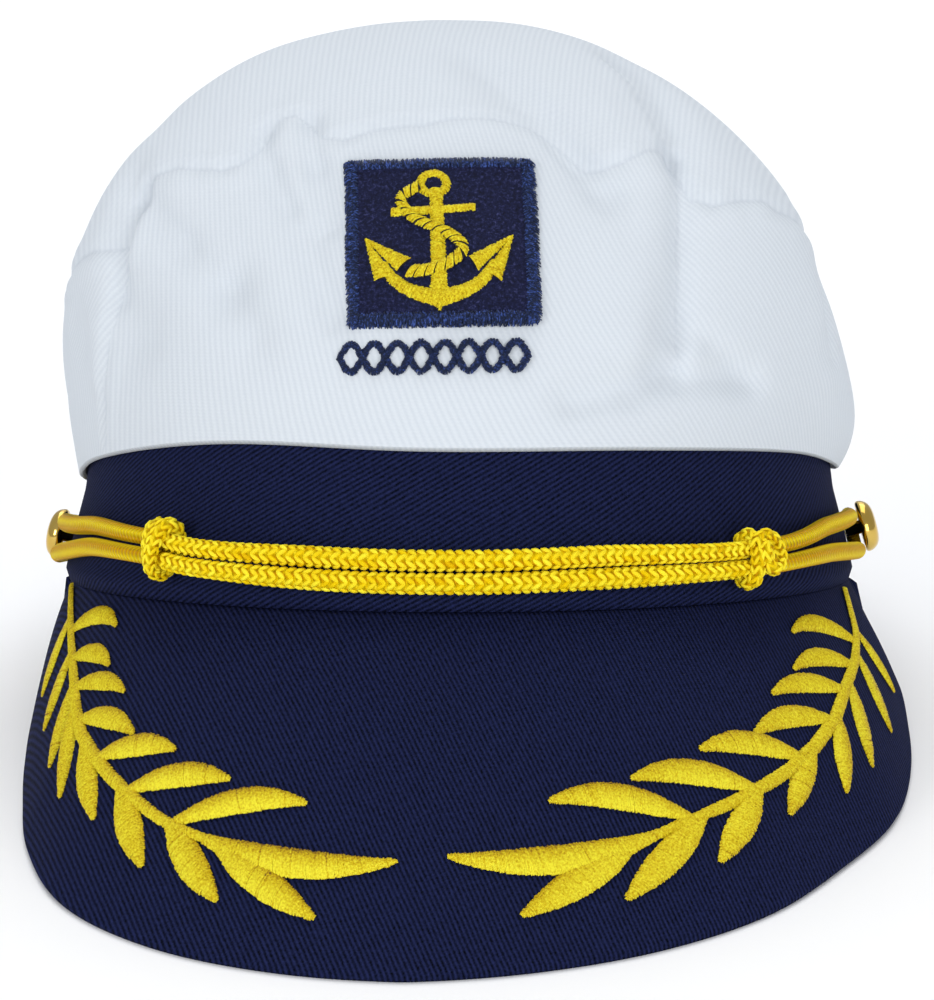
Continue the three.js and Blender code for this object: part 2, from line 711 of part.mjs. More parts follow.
function makeAnchor() {
  const scale = ([u, v]) => [u * badgeWidth / 2, v * badgeHeight / 2];
  const sized = (widths) => widths.map((width) => width * badgeWidth / 2);
  const pieces = anchorStrokes.map(({ path, widths, stations }) => (
    flatStroke(path.map(scale), sized(widths), stations, anchorHeight)
  ));
  const { path: ropePath, widths: ropeWidths, stations: ropeStations } = anchorRope;
  pieces.push(flatStroke(ropePath.map(scale), sized(ropeWidths), ropeStations, ropeHeight));
  const ringStations = Array.from({ length: anchorRing.stations }, (_, i) => {
    const turn = Math.PI * 2 * i / anchorRing.stations;
    const [u, v] = scale(anchorRing.centre);
    const radius = anchorRing.radius * badgeWidth / 2;
    return {
      centre: new THREE.Vector3(u + radius * Math.cos(turn), v + radius * Math.sin(turn), 0),
      normal: up,
      half: anchorRing.width * badgeWidth / 4,
    };
  });
  pieces.push(satin(ringStations, anchorHeight, true));
  return layOnFront(joinFlat(pieces), badgePlace, gap + patchThickness + gap);
}

// Two waves that cross each other, as a narrow braid
function makeWaveBraid() {
  const count = braidWaves * waveStations + 1;
  const swing = (braidHeight - braidThread) / 2;
  const pieces = [1, -1].map((way) => {
    const stations = Array.from({ length: count }, (_, i) => {
      const t = i / (count - 1);
      const height = way * swing * Math.sin(Math.PI * 2 * braidWaves * t);
      const centre = new THREE.Vector3((t - 0.5) * (braidWidth - braidThread), height, 0);
      return { centre, normal: up, half: braidThread / 2 };
    });
    return satin(stations, braidRise, false);
  });
  return layOnFront(joinFlat(pieces), braidPlace, gap);
}

// Place of the cord pair's middle on the band, standing off it by a distance
function cordPoint(azimuth, along, rise, off) {
  const height = smooth(cordHeights, 'height', azimuth) * bandHeight + rise;
  const slide = THREE.MathUtils.radToDeg(along / bandHalfLength);
  const rim = rimHeight(azimuth + slide);
  return bandPoint(azimuth + slide, (height - rim) / (bandHeight - rim), off);
}

// How near a place is to a knot: 1 inside one, 0 away from both
function knotNearness(azimuth) {
  const nearness = Object.values(knots).map(({ azimuth: place }) => {
    const near = Math.max(0, 1 - Math.abs(azimuth - place) / knotReachDegrees);
    return THREE.MathUtils.smoothstep(near, 0, knotRampShare);
  });
  return Math.max(...nearness);
}

// How far the cord's axis stands off the band: close to it, but over the knots' turns
function cordStandoff(azimuth, radius) {
  return radius + gap + (knotThickness + knotBore + knotClearance) * knotNearness(azimuth);
}

function makeChinCord() {
  const stations = [];
  const addStrand = (way) => {
    for (let i = 0; i < cordStations; i += 1) {
      const azimuth = way * THREE.MathUtils.lerp(-buttonAzimuth, buttonAzimuth, i / (cordStations - 1));
      const fromButton = buttonAzimuth - Math.abs(azimuth);
      const drawnIn = THREE.MathUtils.smoothstep(fromButton, 0, spreadDegrees);
      const squeeze = THREE.MathUtils.lerp(1, knotSqueezeShare, knotNearness(azimuth));
      const spread = squeeze * THREE.MathUtils.lerp(loopRadius, cordSpacing / 2, drawnIn);
      const full = THREE.MathUtils.smoothstep(fromButton, 0, loopBlendDegrees);
      const radius = squeeze * cordRadius * THREE.MathUtils.lerp(loopCordShare, 1, full);
      stations.push({ centre: cordPoint(azimuth, 0, way * spread, cordStandoff(azimuth, radius)), radius });
    }
  };
  const addLoop = (way) => {
    for (let i = 1; i < loopStations; i += 1) {
      const turn = Math.PI * (0.5 - i / loopStations);
      const radius = cordRadius * loopCordShare;
      stations.push({
        centre: cordPoint(
          way * buttonAzimuth,
          way * loopRadius * Math.cos(turn),
          way * loopRadius * Math.sin(turn),
          cordStandoff(way * buttonAzimuth, radius),
        ),
        radius,
      });
    }
  };
  addStrand(1);
  addLoop(1);
  addStrand(-1);
  addLoop(-1);
  const count = stations.length;
  const rings = stations.map(({ centre, radius }, i) => {
    const before = stations[(i + count - 1) % count].centre;
    const along = stations[(i + 1) % count].centre.clone().sub(before).normalize();
    const out = new THREE.Vector3(centre.x / bandHalfWidth ** 2, centre.y / bandHalfLength ** 2, 0);
    const side = along.clone().cross(out).normalize();
    const face = side.clone().cross(along).normalize();
    return Array.from({ length: cordSides }, (_, j) => {
      const turn = Math.PI * 2 * j / cordSides;
      return centre.clone()
        .addScaledVector(side, radius * Math.cos(turn))
        .addScaledVector(face, radius * Math.sin(turn));
    });
  });
  return tube(rings, true);
}

// Directions along, up and out of the band's face where the cord's middle passes
function faceAxes(azimuth, off) {
  const [before, after] = [-1, 1].map((step) => cordPoint(azimuth + step, 0, 0, off(azimuth + step)));
  const along = after.sub(before).normalize();
  const rise = cordPoint(azimuth, 0, 1, 0).sub(cordPoint(azimuth, 0, -1, 0)).normalize();
  return { along, rise, out: along.clone().cross(rise).normalize() };
}

// Knot: turns of cord wrapped round both strands
function makeKnot({ azimuth, width, swell, turns }) {
  const strandRadius = cordRadius * knotSqueezeShare;
  const centre = cordPoint(azimuth, 0, 0, cordStandoff(azimuth, strandRadius));
  const { along, rise, out } = faceAxes(azimuth, (place) => cordStandoff(place, strandRadius));
  const innerOut = strandRadius + knotBore;
  const innerRise = cordSpacing / 2 * knotSqueezeShare + strandRadius + knotBore;
  const valley = knotThickness * knotValleyShare;
  const profile = [[-width / 2, 0], [-width / 2, valley]];
  for (let i = 0; i < turns; i += 1) {
    const middle = width * ((i + 0.5) / turns - 0.5);
    const rounder = swell * (1 - Math.abs(middle) / (width / 2));
    profile.push([middle, knotThickness + rounder]);
    if (i < turns - 1) {
      profile.push([middle + width / turns / 2, valley + rounder * knotSwellShare]);
    }
  }
  profile.push([width / 2, valley], [width / 2, 0]);
  const rings = Array.from({ length: knotStations }, (_, i) => {
    const turn = Math.PI * 2 * (i + 0.5) / knotStations;
    const deep = Math.sign(Math.sin(turn)) * Math.abs(Math.sin(turn)) ** knotSquareness;
    return profile.map(([slide, thick]) => {
      const backed = Math.sin(turn) < 0 ? Math.min(thick, knotThickness) : thick;
      return centre.clone()
        .addScaledVector(along, slide)
        .addScaledVector(rise, Math.cos(turn) * (innerRise + backed))
        .addScaledVector(out, deep * (innerOut + backed));
    });
  });
  return tube(rings, true);
}

// Button's profile above its shank, as shares of its radius, its rim and its dome
const buttonProfile = [
  { radius: 0.93, rim: 0, dome: 0 },
  { radius: 1, rim: 0.35, dome: 0 },
  { radius: 1, rim: 0.85, dome: 0 },
  { radius: 0.86, rim: 1, dome: 0.45 },
  { radius: 0.45, rim: 1, dome: 0.9 },
  { radius: 0, rim: 1, dome: 1 },
];

// Domed metal button on its shank, standing over the cord's loop
function makeButton(way) {
  const loopTop = gap + 2 * cordRadius * loopCordShare + gap;
  const profile = [
    new THREE.Vector2(0, gap),
    new THREE.Vector2(shankRadius, gap),
    new THREE.Vector2(shankRadius, loopTop),
    ...buttonProfile.map(({ radius, rim, dome }) => (
      new THREE.Vector2(radius * buttonRadius, loopTop + rim * buttonRim + dome * buttonDome)
    )),
  ];
  const geometry = new THREE.LatheGeometry(profile, lathePoints);
  const { along, out } = faceAxes(way * buttonAzimuth, () => 0);
  const place = cordPoint(way * buttonAzimuth, 0, 0, 0);
  const frame = new THREE.Matrix4().makeBasis(along, out, along.clone().cross(out));
  return geometry.applyMatrix4(frame.setPosition(place));
}

const whiteCotton = new THREE.MeshStandardMaterial({ color: 0xe6ecf2, roughness: 0.9, metalness: 0 });
const navyTwill = new THREE.MeshStandardMaterial({ color: 0x161c37, roughness: 0.9, metalness: 0 });
const navyFelt = new THREE.MeshStandardMaterial({ color: 0x1e1c37, roughness: 0.95, metalness: 0 });
const navyThread = new THREE.MeshStandardMaterial({ color: 0x1c2d5f, roughness: 0.6, metalness: 0 });
const goldThread = new THREE.MeshStandardMaterial({ color: 0xdcb91e, roughness: 0.5, metalness: 0.1 });
const goldCord = new THREE.MeshStandardMaterial({ color: 0xebc81e, roughness: 0.6, metalness: 0 });
const goldMetal = new THREE.MeshStandardMaterial({ color: 0xd6ac4a, roughness: 0.25, metalness: 1 });

const pieces = [
  ['crown', makeCrown(), whiteCotton],
  ['band', makeBand(), navyTwill],
  ['peak', makePeak(), navyTwill],
  ['laurel_left', makeLaurel(laurels.laurel_left), goldThread],
  ['laurel_right', makeLaurel(laurels.laurel_right), goldThread],
  ['badge_patch', makeBadgePatch(), navyFelt],
  ['badge_anchor', makeAnchor(), goldThread],
  ['wave_braid', makeWaveBraid(), navyThread],
  ['chin_cord', makeChinCord(), goldCord],
  ['cord_knot_left', makeKnot(knots.cord_knot_left), goldCord],
  ['cord_knot_right', makeKnot(knots.cord_knot_right), goldCord],
  ['button_left', makeButton(-1), goldMetal],
  ['button_right', makeButton(1), goldMetal],
];

// Tilt the hat to the way it rests, then centre it over the origin
const rest = new THREE.Matrix4().makeRotationX(-restTilt);
rest.setPosition(0, 0, restLength * Math.sin(restTilt));
const whole = new THREE.Box3();
for (const [, geometry] of pieces) {
  geometry.applyMatrix4(rest);
  geometry.computeBoundingBox();
  whole.union(geometry.boundingBox);
}
const middle = whole.getCenter(new THREE.Vector3());

const hat = new THREE.Group();
hat.name = 'captain_hat';
for (const [name, geometry, material] of pieces) {
  geometry.translate(-middle.x, -middle.y, -whole.min.z);
  const mesh = new THREE.Mesh(geometry, material);
  mesh.name = name;
  hat.add(mesh);
}

export default hat;
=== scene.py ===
"""Looks of the captain hat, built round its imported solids.

Shapes are worked out in millimetres in the head band's own frame, X to the wearer's left, Y to the back and
Z up, and place() then puts them in the row frame, in metres.
"""

import math

import bpy
import numpy as np
from mathutils import Matrix, Vector


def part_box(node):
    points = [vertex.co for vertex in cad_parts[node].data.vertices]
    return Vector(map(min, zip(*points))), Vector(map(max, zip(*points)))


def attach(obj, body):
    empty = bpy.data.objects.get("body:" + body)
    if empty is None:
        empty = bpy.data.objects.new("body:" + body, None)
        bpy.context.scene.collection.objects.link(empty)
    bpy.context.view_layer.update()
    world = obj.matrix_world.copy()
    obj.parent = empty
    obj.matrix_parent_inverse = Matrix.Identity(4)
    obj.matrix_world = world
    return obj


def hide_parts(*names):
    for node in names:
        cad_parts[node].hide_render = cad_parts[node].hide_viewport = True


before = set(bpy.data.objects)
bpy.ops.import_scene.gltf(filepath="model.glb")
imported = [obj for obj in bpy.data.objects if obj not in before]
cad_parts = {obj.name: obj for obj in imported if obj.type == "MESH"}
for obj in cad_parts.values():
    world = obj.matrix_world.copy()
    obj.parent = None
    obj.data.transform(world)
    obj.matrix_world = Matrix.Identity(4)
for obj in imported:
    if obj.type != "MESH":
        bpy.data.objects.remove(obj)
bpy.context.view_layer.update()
rng = np.random.default_rng(7)

# Sizes shared with the solids, in millimetres and degrees
BAND_HALF_WIDTH = 88.0
BAND_HALF_LENGTH = 98.0
BAND_HEIGHT = 36.0
BAND_WALL = 2.4
BAND_FRONT_LIFT = 1.6
BAND_TAPER = 6.0
CROWN_HEIGHT = 123.3
CROWN_WALL = 1.5
CROWN_SEAT = 0.4
APEX_SIDE = -0.055
APEX_FORWARD = -0.092
SEAM_SHARE = 0.6
TOP_RISE = 0.55
TOP_LEAN = 0.19
TOP_FLAT = 0.45
SHOULDER_DROP = 0.28
FOLD_DEPTH = 3.0
FOLD_WIDTH = 10.0
PEAK_REACH = 46.0
PEAK_THICKNESS = 2.8
PEAK_TUCK = 1.0
PEAK_BULGE = 1.5
PEAK_END = 87.0
CORNER_SHARE = 0.75
REST_TILT = math.radians(13.5)
REST_SHARE = 0.982
LAND_DEPTH = 0.6
GAP = 0.35
LEAF_WIDTH = 5.4
LEAF_HEIGHT = 1.0
STEM_WIDTH = 2.7
BEND_SPAN = 28.0
BADGE_WIDTH = 37.0
BADGE_HEIGHT = 37.0
PATCH_THICKNESS = 0.8
BORDER_SHARE = 0.88
BORDER_RISE = 0.6
BRAID_WIDTH = 37.5
BRAID_HEIGHT = 7.0
BRAID_THREAD = 1.3
BRAID_WAVES = 4
CORD_RADIUS = 1.95
CORD_SPACING = 4.25
LOOP_RADIUS = 3.8
LOOP_CORD_SHARE = 0.78
LOOP_BLEND = 10.0
BUTTON_AZIMUTH = 88.0
BUTTON_RADIUS = 5.8
BUTTON_RIM = 2.0
BUTTON_DOME = 1.6
SHANK_RADIUS = 1.5
SPREAD_DEGREES = 38.4
KNOT_THICKNESS = 1.9
KNOT_REACH = 22.0
KNOT_BORE = 0.5
KNOT_CLEARANCE = 0.55
KNOT_RAMP = 0.8
KNOT_SQUEEZE = 0.86
KNOT_LEFT = -35.0
KNOT_RIGHT = 43.6

# Relief of the crown's cloth, in millimetres: a seam's groove, the ridge beside it and its puckers
SEAM_REACH = 4.0
SEAM_GROOVE = {"depth": 0.3, "width": 1.1}
SEAM_RIDGE = {"height": 0.45, "away": 3.0, "width": 2.2}
SEAM_PUCKER = {"height": 0.16, "width": 4.0, "pitch": 1.3}
RELIEF_LIMIT = 1.1
# Rolled hem of the band and the groove over it, in millimetres and shares of the band's height
HEM_ROLL = {"height": 0.35, "at": 0.05, "width": 0.05}
HEM_GROOVE = {"depth": 0.25, "at": 0.125, "width": 0.018}
HEM_START = -0.011
# Directions of the twill: sideways run for each millimetre up, how it fans out, or parts along and up
FRONT_LEAN = 0.38
FRONT_FAN = 0.006
FAN_MIDDLE = 60.0
TOP_FAN = 0.0022
PEAK_LEAN = 0.5
LEFT_RIBS = (0.82, 0.57)
RIGHT_RIBS = (0.8, 0.6)
BAND_LEAN = math.radians(28)
# Embroidery, in millimetres: spacing of the threads, how their ends vary and the rope's stripes
LAUREL_PITCH = 0.26
LAUREL_RAGGED = (-0.12, 0.16)
BORDER_PITCH = 0.2
BORDER_LAYERS = 3
STROKE_PITCH = 0.24
STROKE_RAGGED = (-0.1, 0.16)
ROPE_STRIPE = 1.9
ROPE_STRIPE_FILL = 0.76
# How a border's thread varies: along the edge, at its outer and inner ends, sideways and in height
BORDER_VARY = {"along": 0.15, "outer": (-0.4, 0.65), "inner": (-0.3, 0.5), "skew": 0.35,
               "tall": (-0.12, 0.15)}
BORDER_LAYER_RISE = 0.05
FLAT_UP = np.array([[0.0, 0.0, 1.0]])
# Knitted cord, in millimetres; a stitch has its swell and its share of the cord's radius at five places
KNIT_STEP = 0.6
KNIT_PITCH = 1.8
KNIT_COLUMNS = 4
CORD_SIDES = 16
BEAD_SIDES = 6
STITCH_SWELL = np.array([0.35, 0.85, 1, 0.85, 0.35]) * 0.5
STITCH_OUT = np.array([0.74, 0.86, 0.9, 0.86, 0.74])
KNOT_PITCH = 1.7
KNOT_CORD_RADIUS = 1.45
KNOT_TURN = np.linspace(0, 2 * math.pi, 49)[:-1]
BUTTON_EDGE = 0.7
# Tint of the threads' shine
GOLD_GLINT = (1.0, 0.85, 0.35, 1.0)
NAVY_GLINT = (0.5, 0.65, 1.0, 1.0)


def table(names, rows):
    """A table with named columns."""
    return dict(zip(names.split(), np.array(rows, float).T))


BAND_PROFILE = table("at inset", [(0, 0.1), (0.07, 0), (0.22, 0.17), (0.56, 0.7), (0.9, 0.95), (1, 1.3)])
CROWN = table("at hem belly belly_at shoulder seam_radius seam_height", [
    (-180, 0.722, 0.13, 0.4, 0.131, 0.838, 0.665),
    (-135, 0.694, 0.105, 0.4, 0.165, 0.848, 0.651),
    (-90, 0.597, 0.06, 0.4, 0.179, 0.853, 0.608),
    (-60, 0.792, 0.023, 0.45, 0.108, 0.885, 0.691),
    (-30, 0.917, -0.032, 0.5, 0.113, 0.715, 0.743),
    (0, 0.894, -0.056, 0.5, 0.119, 0.613, 0.799),
    (30, 0.889, -0.028, 0.5, 0.114, 0.72, 0.736),
    (60, 0.833, 0.063, 0.45, 0.099, 0.901, 0.69),
    (90, 0.681, 0.143, 0.4, 0.03, 0.803, 0.585),
    (135, 0.694, 0.144, 0.4, 0.09, 0.819, 0.653),
])
# Each fold runs between two places, azimuth and share, with its width and depth
FOLDS = [
    ((43.5, 0.59), (35, 0.133), 0.45, -0.9), ((37.5, 0.57), (28, 0.19), 0.9, 0.6),
    ((-33, 0.625), (-13.5, 0.18), 0.45, -0.55), ((-51.5, 0.547), (-31.5, 0.263), 0.6, -0.7),
    ((-31.5, 0.263), (-25, 0.147), 0.6, -0.4), ((-55.5, 0.6), (-53, 0.305), 0.5, -0.75),
    ((-48.8, 0.24), (-48.8, 0.2), 0.9, -0.6), ((-24.2, 0.63), (-16.5, 0.362), 0.4, -0.5),
    ((16, 0.74), (31.2, 0.522), 0.7, -0.8), ((56, 0.795), (45, 0.62), 0.5, -0.7),
    ((19, 0.058), (31.5, 0.105), 0.4, -0.4), ((31.5, 0.105), (48.2, 0.107), 0.4, -0.4),
    ((36, 0.188), (45.5, 0.135), 0.5, -0.45), ((67.5, 0.372), (64.2, 0.203), 0.35, -0.3),
    ((100, 0.5), (112, 0.16), 1.1, -0.8), ((150, 0.62), (163, 0.22), 1.2, -0.9),
    ((-118, 0.56), (-104, 0.2), 1.1, -0.8), ((-160, 0.6), (-150, 0.2), 1.2, -0.8),
    ((120, 0.8), (155, 0.62), 1, -0.6),
]
PEAK_EDGE = table("at left right lift", [
    (0, 1.01, 1.01, 1), (10, 1, 0.965, 1), (20, 0.962, 0.913, 1), (30, 0.856, 0.833, 1),
    (40, 0.641, 0.704, 1), (50, 0.425, 0.606, 1), (60, 0.278, 0.469, 1), (70, 0.18, 0.337, 0.93),
    (76, 0.123, 0.255, 0.77), (80, 0.086, 0.172, 0.65), (84, 0.058, 0.088, 0.46), (87, 0.046, 0.03, 0.12),
])
# Laurel sprays on the peak, by azimuth and share; a leaf is base, tip, width, bend
LAURELS = {
    "laurel_left": {
        "stem": [(-68.2, 0.03), (-55.8, 0.27), (-48.5, 0.405), (-43.8, 0.49), (-39, 0.56), (-33.2, 0.6),
                 (-28, 0.64), (-22.2, 0.69), (-16.5, 0.715)],
        "leaves": [
            ((-56.8, 0.21), (-44.5, 0.14), 0.75, 0.16), ((-51.2, 0.32), (-41, 0.295), 0.75, 0.12),
            ((-46.2, 0.425), (-35.2, 0.36), 0.75, 0.1), ((-41, 0.515), (-30.2, 0.475), 0.85, 0.1),
            ((-34, 0.595), (-24, 0.485), 0.95, 0.1), ((-27.5, 0.645), (-17, 0.54), 1, 0.1),
            ((-21.2, 0.675), (-9.2, 0.58), 1, 0.1), ((-17.8, 0.71), (-0.9, 0.72), 1.05, -0.045),
            ((-60.8, 0.17), (-59.2, 0.62), 0.6, 0), ((-53.5, 0.31), (-51, 0.69), 0.6, 0),
            ((-47.5, 0.42), (-43, 0.74), 0.7, 0), ((-44.2, 0.48), (-37.2, 0.775), 0.75, 0),
            ((-38, 0.565), (-30, 0.755), 0.9, 0), ((-28.8, 0.65), (-22.5, 0.825), 1, 0),
            ((-21.5, 0.7), (-14.8, 0.865), 1.05, 0), ((-16.5, 0.725), (-6.8, 0.875), 1.1, 0),
        ],
    },
    "laurel_right": {
        "stem": [(73.5, 0.05), (66.2, 0.295), (60.5, 0.39), (53.5, 0.465), (48.8, 0.54), (43.2, 0.605),
                 (37.8, 0.645), (30.5, 0.67), (25.2, 0.69), (18.8, 0.725)],
        "leaves": [
            ((63.5, 0.28), (49.8, 0.17), 0.75, 0.16), ((58.8, 0.375), (46, 0.315), 0.75, 0.12),
            ((52.8, 0.44), (40.5, 0.38), 0.8, 0.1), ((47.5, 0.52), (35.2, 0.495), 0.85, 0.1),
            ((40.2, 0.615), (28, 0.495), 0.95, 0.1), ((32.5, 0.65), (20, 0.545), 1, 0.1),
            ((24.8, 0.68), (12, 0.58), 1, 0.1), ((21.2, 0.72), (3.2, 0.71), 1.05, -0.045),
            ((66.8, 0.3), (69.5, 0.74), 0.6, 0), ((62.2, 0.385), (60.2, 0.77), 0.65, 0),
            ((55.5, 0.46), (50.8, 0.785), 0.75, 0), ((49.2, 0.55), (44.5, 0.805), 0.85, 0),
            ((42.8, 0.625), (35.5, 0.775), 0.9, 0), ((33.2, 0.67), (26.2, 0.83), 1, 0),
            ((26.2, 0.69), (17.2, 0.87), 1.05, 0), ((18.8, 0.71), (8.8, 0.875), 1.1, 0),
        ],
    },
}
LEAF_OUTLINE = table("at width", [
    (0, 0.3), (0.14, 0.6), (0.28, 0.88), (0.55, 1), (0.78, 0.72), (0.93, 0.36), (1, 0.24),
])
# Anchor in badge coordinates, one at the patch's edge on each side; a stroke is a path and its widths
ANCHOR = [
    ([(-0.04, 0.58), (-0.035, 0), (-0.03, -0.72)], [0.13, 0.15, 0.17]),
    ([(-0.51, 0.3), (-0.06, 0.32), (0.36, 0.35)], [0.11, 0.1, 0.09]),
    ([(-0.62, -0.33), (-0.51, -0.5), (-0.32, -0.64), (-0.03, -0.73)], [0.1, 0.13, 0.15, 0.2]),
    ([(-0.03, -0.73), (0.255, -0.64), (0.44, -0.5), (0.55, -0.33)], [0.2, 0.15, 0.13, 0.1]),
    ([(-0.03, -0.6), (-0.03, -0.86)], [0.2, 0.03]),
    ([(-0.4, -0.335), (-0.79, -0.03)], [0.2, 0.02]),
    ([(-0.605, -0.49), (-0.79, -0.03)], [0.2, 0.02]),
    ([(0.53, -0.49), (0.74, -0.02)], [0.19, 0.02]),
    ([(0.33, -0.335), (0.74, -0.02)], [0.19, 0.02]),
]
ROPE = ([(-0.23, 0.62), (-0.38, 0.5), (-0.39, 0.37), (-0.26, 0.2), (0, 0.06), (0.17, -0.07), (0.21, -0.2),
         (0.12, -0.3), (0, -0.37), (-0.18, -0.42), (-0.33, -0.43)], [0.12, 0.13])
RING = {"centre": (-0.064, 0.66), "radius": 0.138, "width": 0.09}
FRONT_TURN = math.radians(1.0)
BADGE_PLACE = (2.3, 0.315)
BRAID_PLACE = (0.9, 0.1145)
CORD_HEIGHTS = table("at height", [
    (-88, 0.222), (-64, 0.305), (-53, 0.345), (-38, 0.333), (-30, 0.294), (-12, 0.257),
    (6, 0.248), (22, 0.262), (43, 0.274), (56, 0.3), (66, 0.315), (88, 0.29),
])
# Upper seam of the crown's panels, as azimuth and share: the front panel stands higher than the sides
TOP_SEAM = [
    (-180, 0.6), (-140, 0.57), (-100, 0.48), (-75, 0.43), (-60, 0.425), (-55.2, 0.415), (-52.6, 0.42),
    (-52.4, 0.59), (-46.2, 0.593), (-38.2, 0.562), (-34.8, 0.568), (-33, 0.61), (-31.5, 0.647), (-27.8, 0.65),
    (-24.2, 0.63), (-19.8, 0.585), (-16.2, 0.565), (-9.8, 0.57), (-0.2, 0.568), (5.2, 0.588), (14.5, 0.615),
    (22, 0.63), (26, 0.605), (29.2, 0.555), (32, 0.557), (35.2, 0.575), (39.2, 0.605), (43.5, 0.618),
    (43.7, 0.505), (46.5, 0.492), (51.2, 0.517), (55.5, 0.527), (57.5, 0.508), (70, 0.49), (100, 0.52),
    (140, 0.58), (180, 0.6),
]
# Seams at the corners of the front panel and two behind
SIDE_SEAMS = [
    [(43.6, 0.618), (42, 0.503), (39.5, 0.383), (37.5, 0.235), (36.8, 0.145), (34, 0.01)],
    [(-52.4, 0.59), (-53.4, 0.51), (-52.5, 0.438), (-53.8, 0.305), (-55, 0.15), (-56, 0.01)],
    [(150, 0.6), (152, 0.01)],
    [(-150, 0.6), (-152, 0.01)],
]
# Finer creases of the cloth: from, to, width in millimetres and depth in millimetres
CREASES = [
    ((-33, 0.625), (-24.2, 0.43), 2.6, -0.9), ((-24.2, 0.43), (-13.5, 0.18), 3.0, -0.6),
    ((-24.2, 0.63), (-20.8, 0.517), 2.2, -0.8), ((-20.8, 0.517), (-16.5, 0.362), 2.4, -0.5),
    ((-51.5, 0.547), (-41.2, 0.375), 3.2, -1.0), ((-41.2, 0.375), (-25.8, 0.163), 3.6, -0.7),
    ((-28.5, 0.6), (-21, 0.4), 3.5, 0.7), ((-46, 0.52), (-34, 0.33), 4.5, 0.8),
    ((-53.5, 0.53), (-53.6, 0.3), 3.0, -1.1), ((-52.5, 0.21), (-46, 0.17), 4.0, -1.3),
    ((-66, 0.28), (-63, 0.23), 4.5, -1.2), ((-58, 0.24), (-57.5, 0.15), 5.0, 0.8),
    ((25.8, 0.6), (30.8, 0.468), 2.8, -1.1), ((30.8, 0.468), (31.5, 0.38), 4.0, -0.5),
    ((19.8, 0.725), (25.5, 0.65), 3.5, -1.0), ((25.5, 0.65), (29.2, 0.56), 2.6, -1.2),
    ((56, 0.795), (48.2, 0.703), 3.0, -1.0), ((48.2, 0.703), (44.4, 0.615), 2.2, -1.4),
    ((37, 0.68), (33, 0.6), 4.5, 0.9), ((20, 0.055), (28.2, 0.07), 2.4, -0.8),
    ((28.2, 0.07), (36.2, 0.105), 2.6, -0.9), ((36.2, 0.105), (48, 0.113), 2.8, -0.7),
    ((30, 0.12), (46, 0.15), 5.0, 0.6), ((38, 0.215), (47, 0.118), 2.4, -0.5),
    ((67.5, 0.35), (67, 0.2), 2.6, -1.2), ((61, 0.42), (66, 0.15), 6.0, 0.7),
    ((-70, 0.7), (-45, 0.66), 6.0, -0.6), ((-10, 0.72), (12, 0.7), 8.0, 0.5),
    ((80, 0.62), (70, 0.5), 5.0, -0.8), ((105, 0.55), (118, 0.2), 6.0, -1.0),
    ((-90, 0.45), (-78, 0.12), 5.0, -1.0), ((-125, 0.5), (-112, 0.15), 6.0, -1.1),
    ((170, 0.5), (172, 0.1), 5.0, -0.8), ((135, 0.45), (128, 0.12), 5.0, -0.8),
]


def unit(vector):
    return vector / np.linalg.norm(vector, axis=-1, keepdims=True)


def smoothstep(value, low=0.0, high=1.0):
    t = np.clip((value - low) / (high - low), 0, 1)
    return t * t * (3 - 2 * t)


def mix(a, b, t):
    return a + (b - a) * t


def bell(away, width):
    """Smooth hump, one in the middle and near none past its width."""
    return np.exp(-((away / width) ** 2))


def travel(line):
    """How far along a line of points each of them is."""
    return np.concatenate([[0], np.cumsum(np.linalg.norm(np.diff(line, axis=0), axis=1))])


def sample(at, known, rows):
    """Rows of values, given at known places, read at other places between them."""
    return np.stack([np.interp(at, known, column) for column in rows.T], -1)


def smooth(rows, key, place, turn=0.0):
    """Smooth value of a table's column between its rows; turn is set for a table that goes round."""
    at, value = rows["at"], rows[key]
    if turn:
        place = at[0] + (np.asarray(place, float) - at[0]) % turn
        at = np.concatenate([[at[-1] - turn], at, [at[0] + turn, at[1] + turn]])
        value = np.concatenate([value[-1:], value, value[:2]])
    else:
        place = np.clip(place, at[0], at[-1])
        at = np.concatenate([at[:1], at, at[-1:]])
        value = np.concatenate([value[:1], value, value[-1:]])
    slope = np.zeros_like(at)
    slope[1:-1] = (value[2:] - value[:-2]) / (at[2:] - at[:-2])
    k = np.clip(np.searchsorted(at, place, side="right") - 1, 1, len(at) - 3)
    span = at[k + 1] - at[k]
    t = (place - at[k]) / span
    rise = 3 * t**2 - 2 * t**3
    pull = slope[k] * (t**3 - 2 * t**2 + t) + slope[k + 1] * (t**3 - t**2)
    return value[k] * (1 - rise) + value[k + 1] * rise + span * pull


def ring_point(azimuth, out, height):
    """Point of the band's plan outline, moved outwards square to it, at a height."""
    turn = np.radians(azimuth)
    square = unit(np.stack([np.sin(turn) / BAND_HALF_WIDTH, -np.cos(turn) / BAND_HALF_LENGTH], -1))
    x = BAND_HALF_WIDTH * np.sin(turn) + square[..., 0] * out
    y = -BAND_HALF_LENGTH * np.cos(turn) + square[..., 1] * out
    return np.stack(np.broadcast_arrays(x, y, height), -1)


def girth_at(azimuth):
    """Distance round the band, from its front."""
    return np.radians(azimuth) * (BAND_HALF_WIDTH + BAND_HALF_LENGTH) / 2


def rim_height(azimuth):
    return BAND_FRONT_LIFT * (1 + np.cos(np.radians(azimuth))) / 2


def band_point(azimuth, share, out):
    inset = np.interp(share, BAND_PROFILE["at"], BAND_PROFILE["inset"]) * BAND_TAPER
    return ring_point(azimuth, out - inset, rim_height(azimuth) * (1 - share) + share * BAND_HEIGHT)


def bezier(a, b, c, d, t):
    s = 1 - t
    return a * s**3 + 3 * b * s * s * t + 3 * c * s * t * t + d * t**3


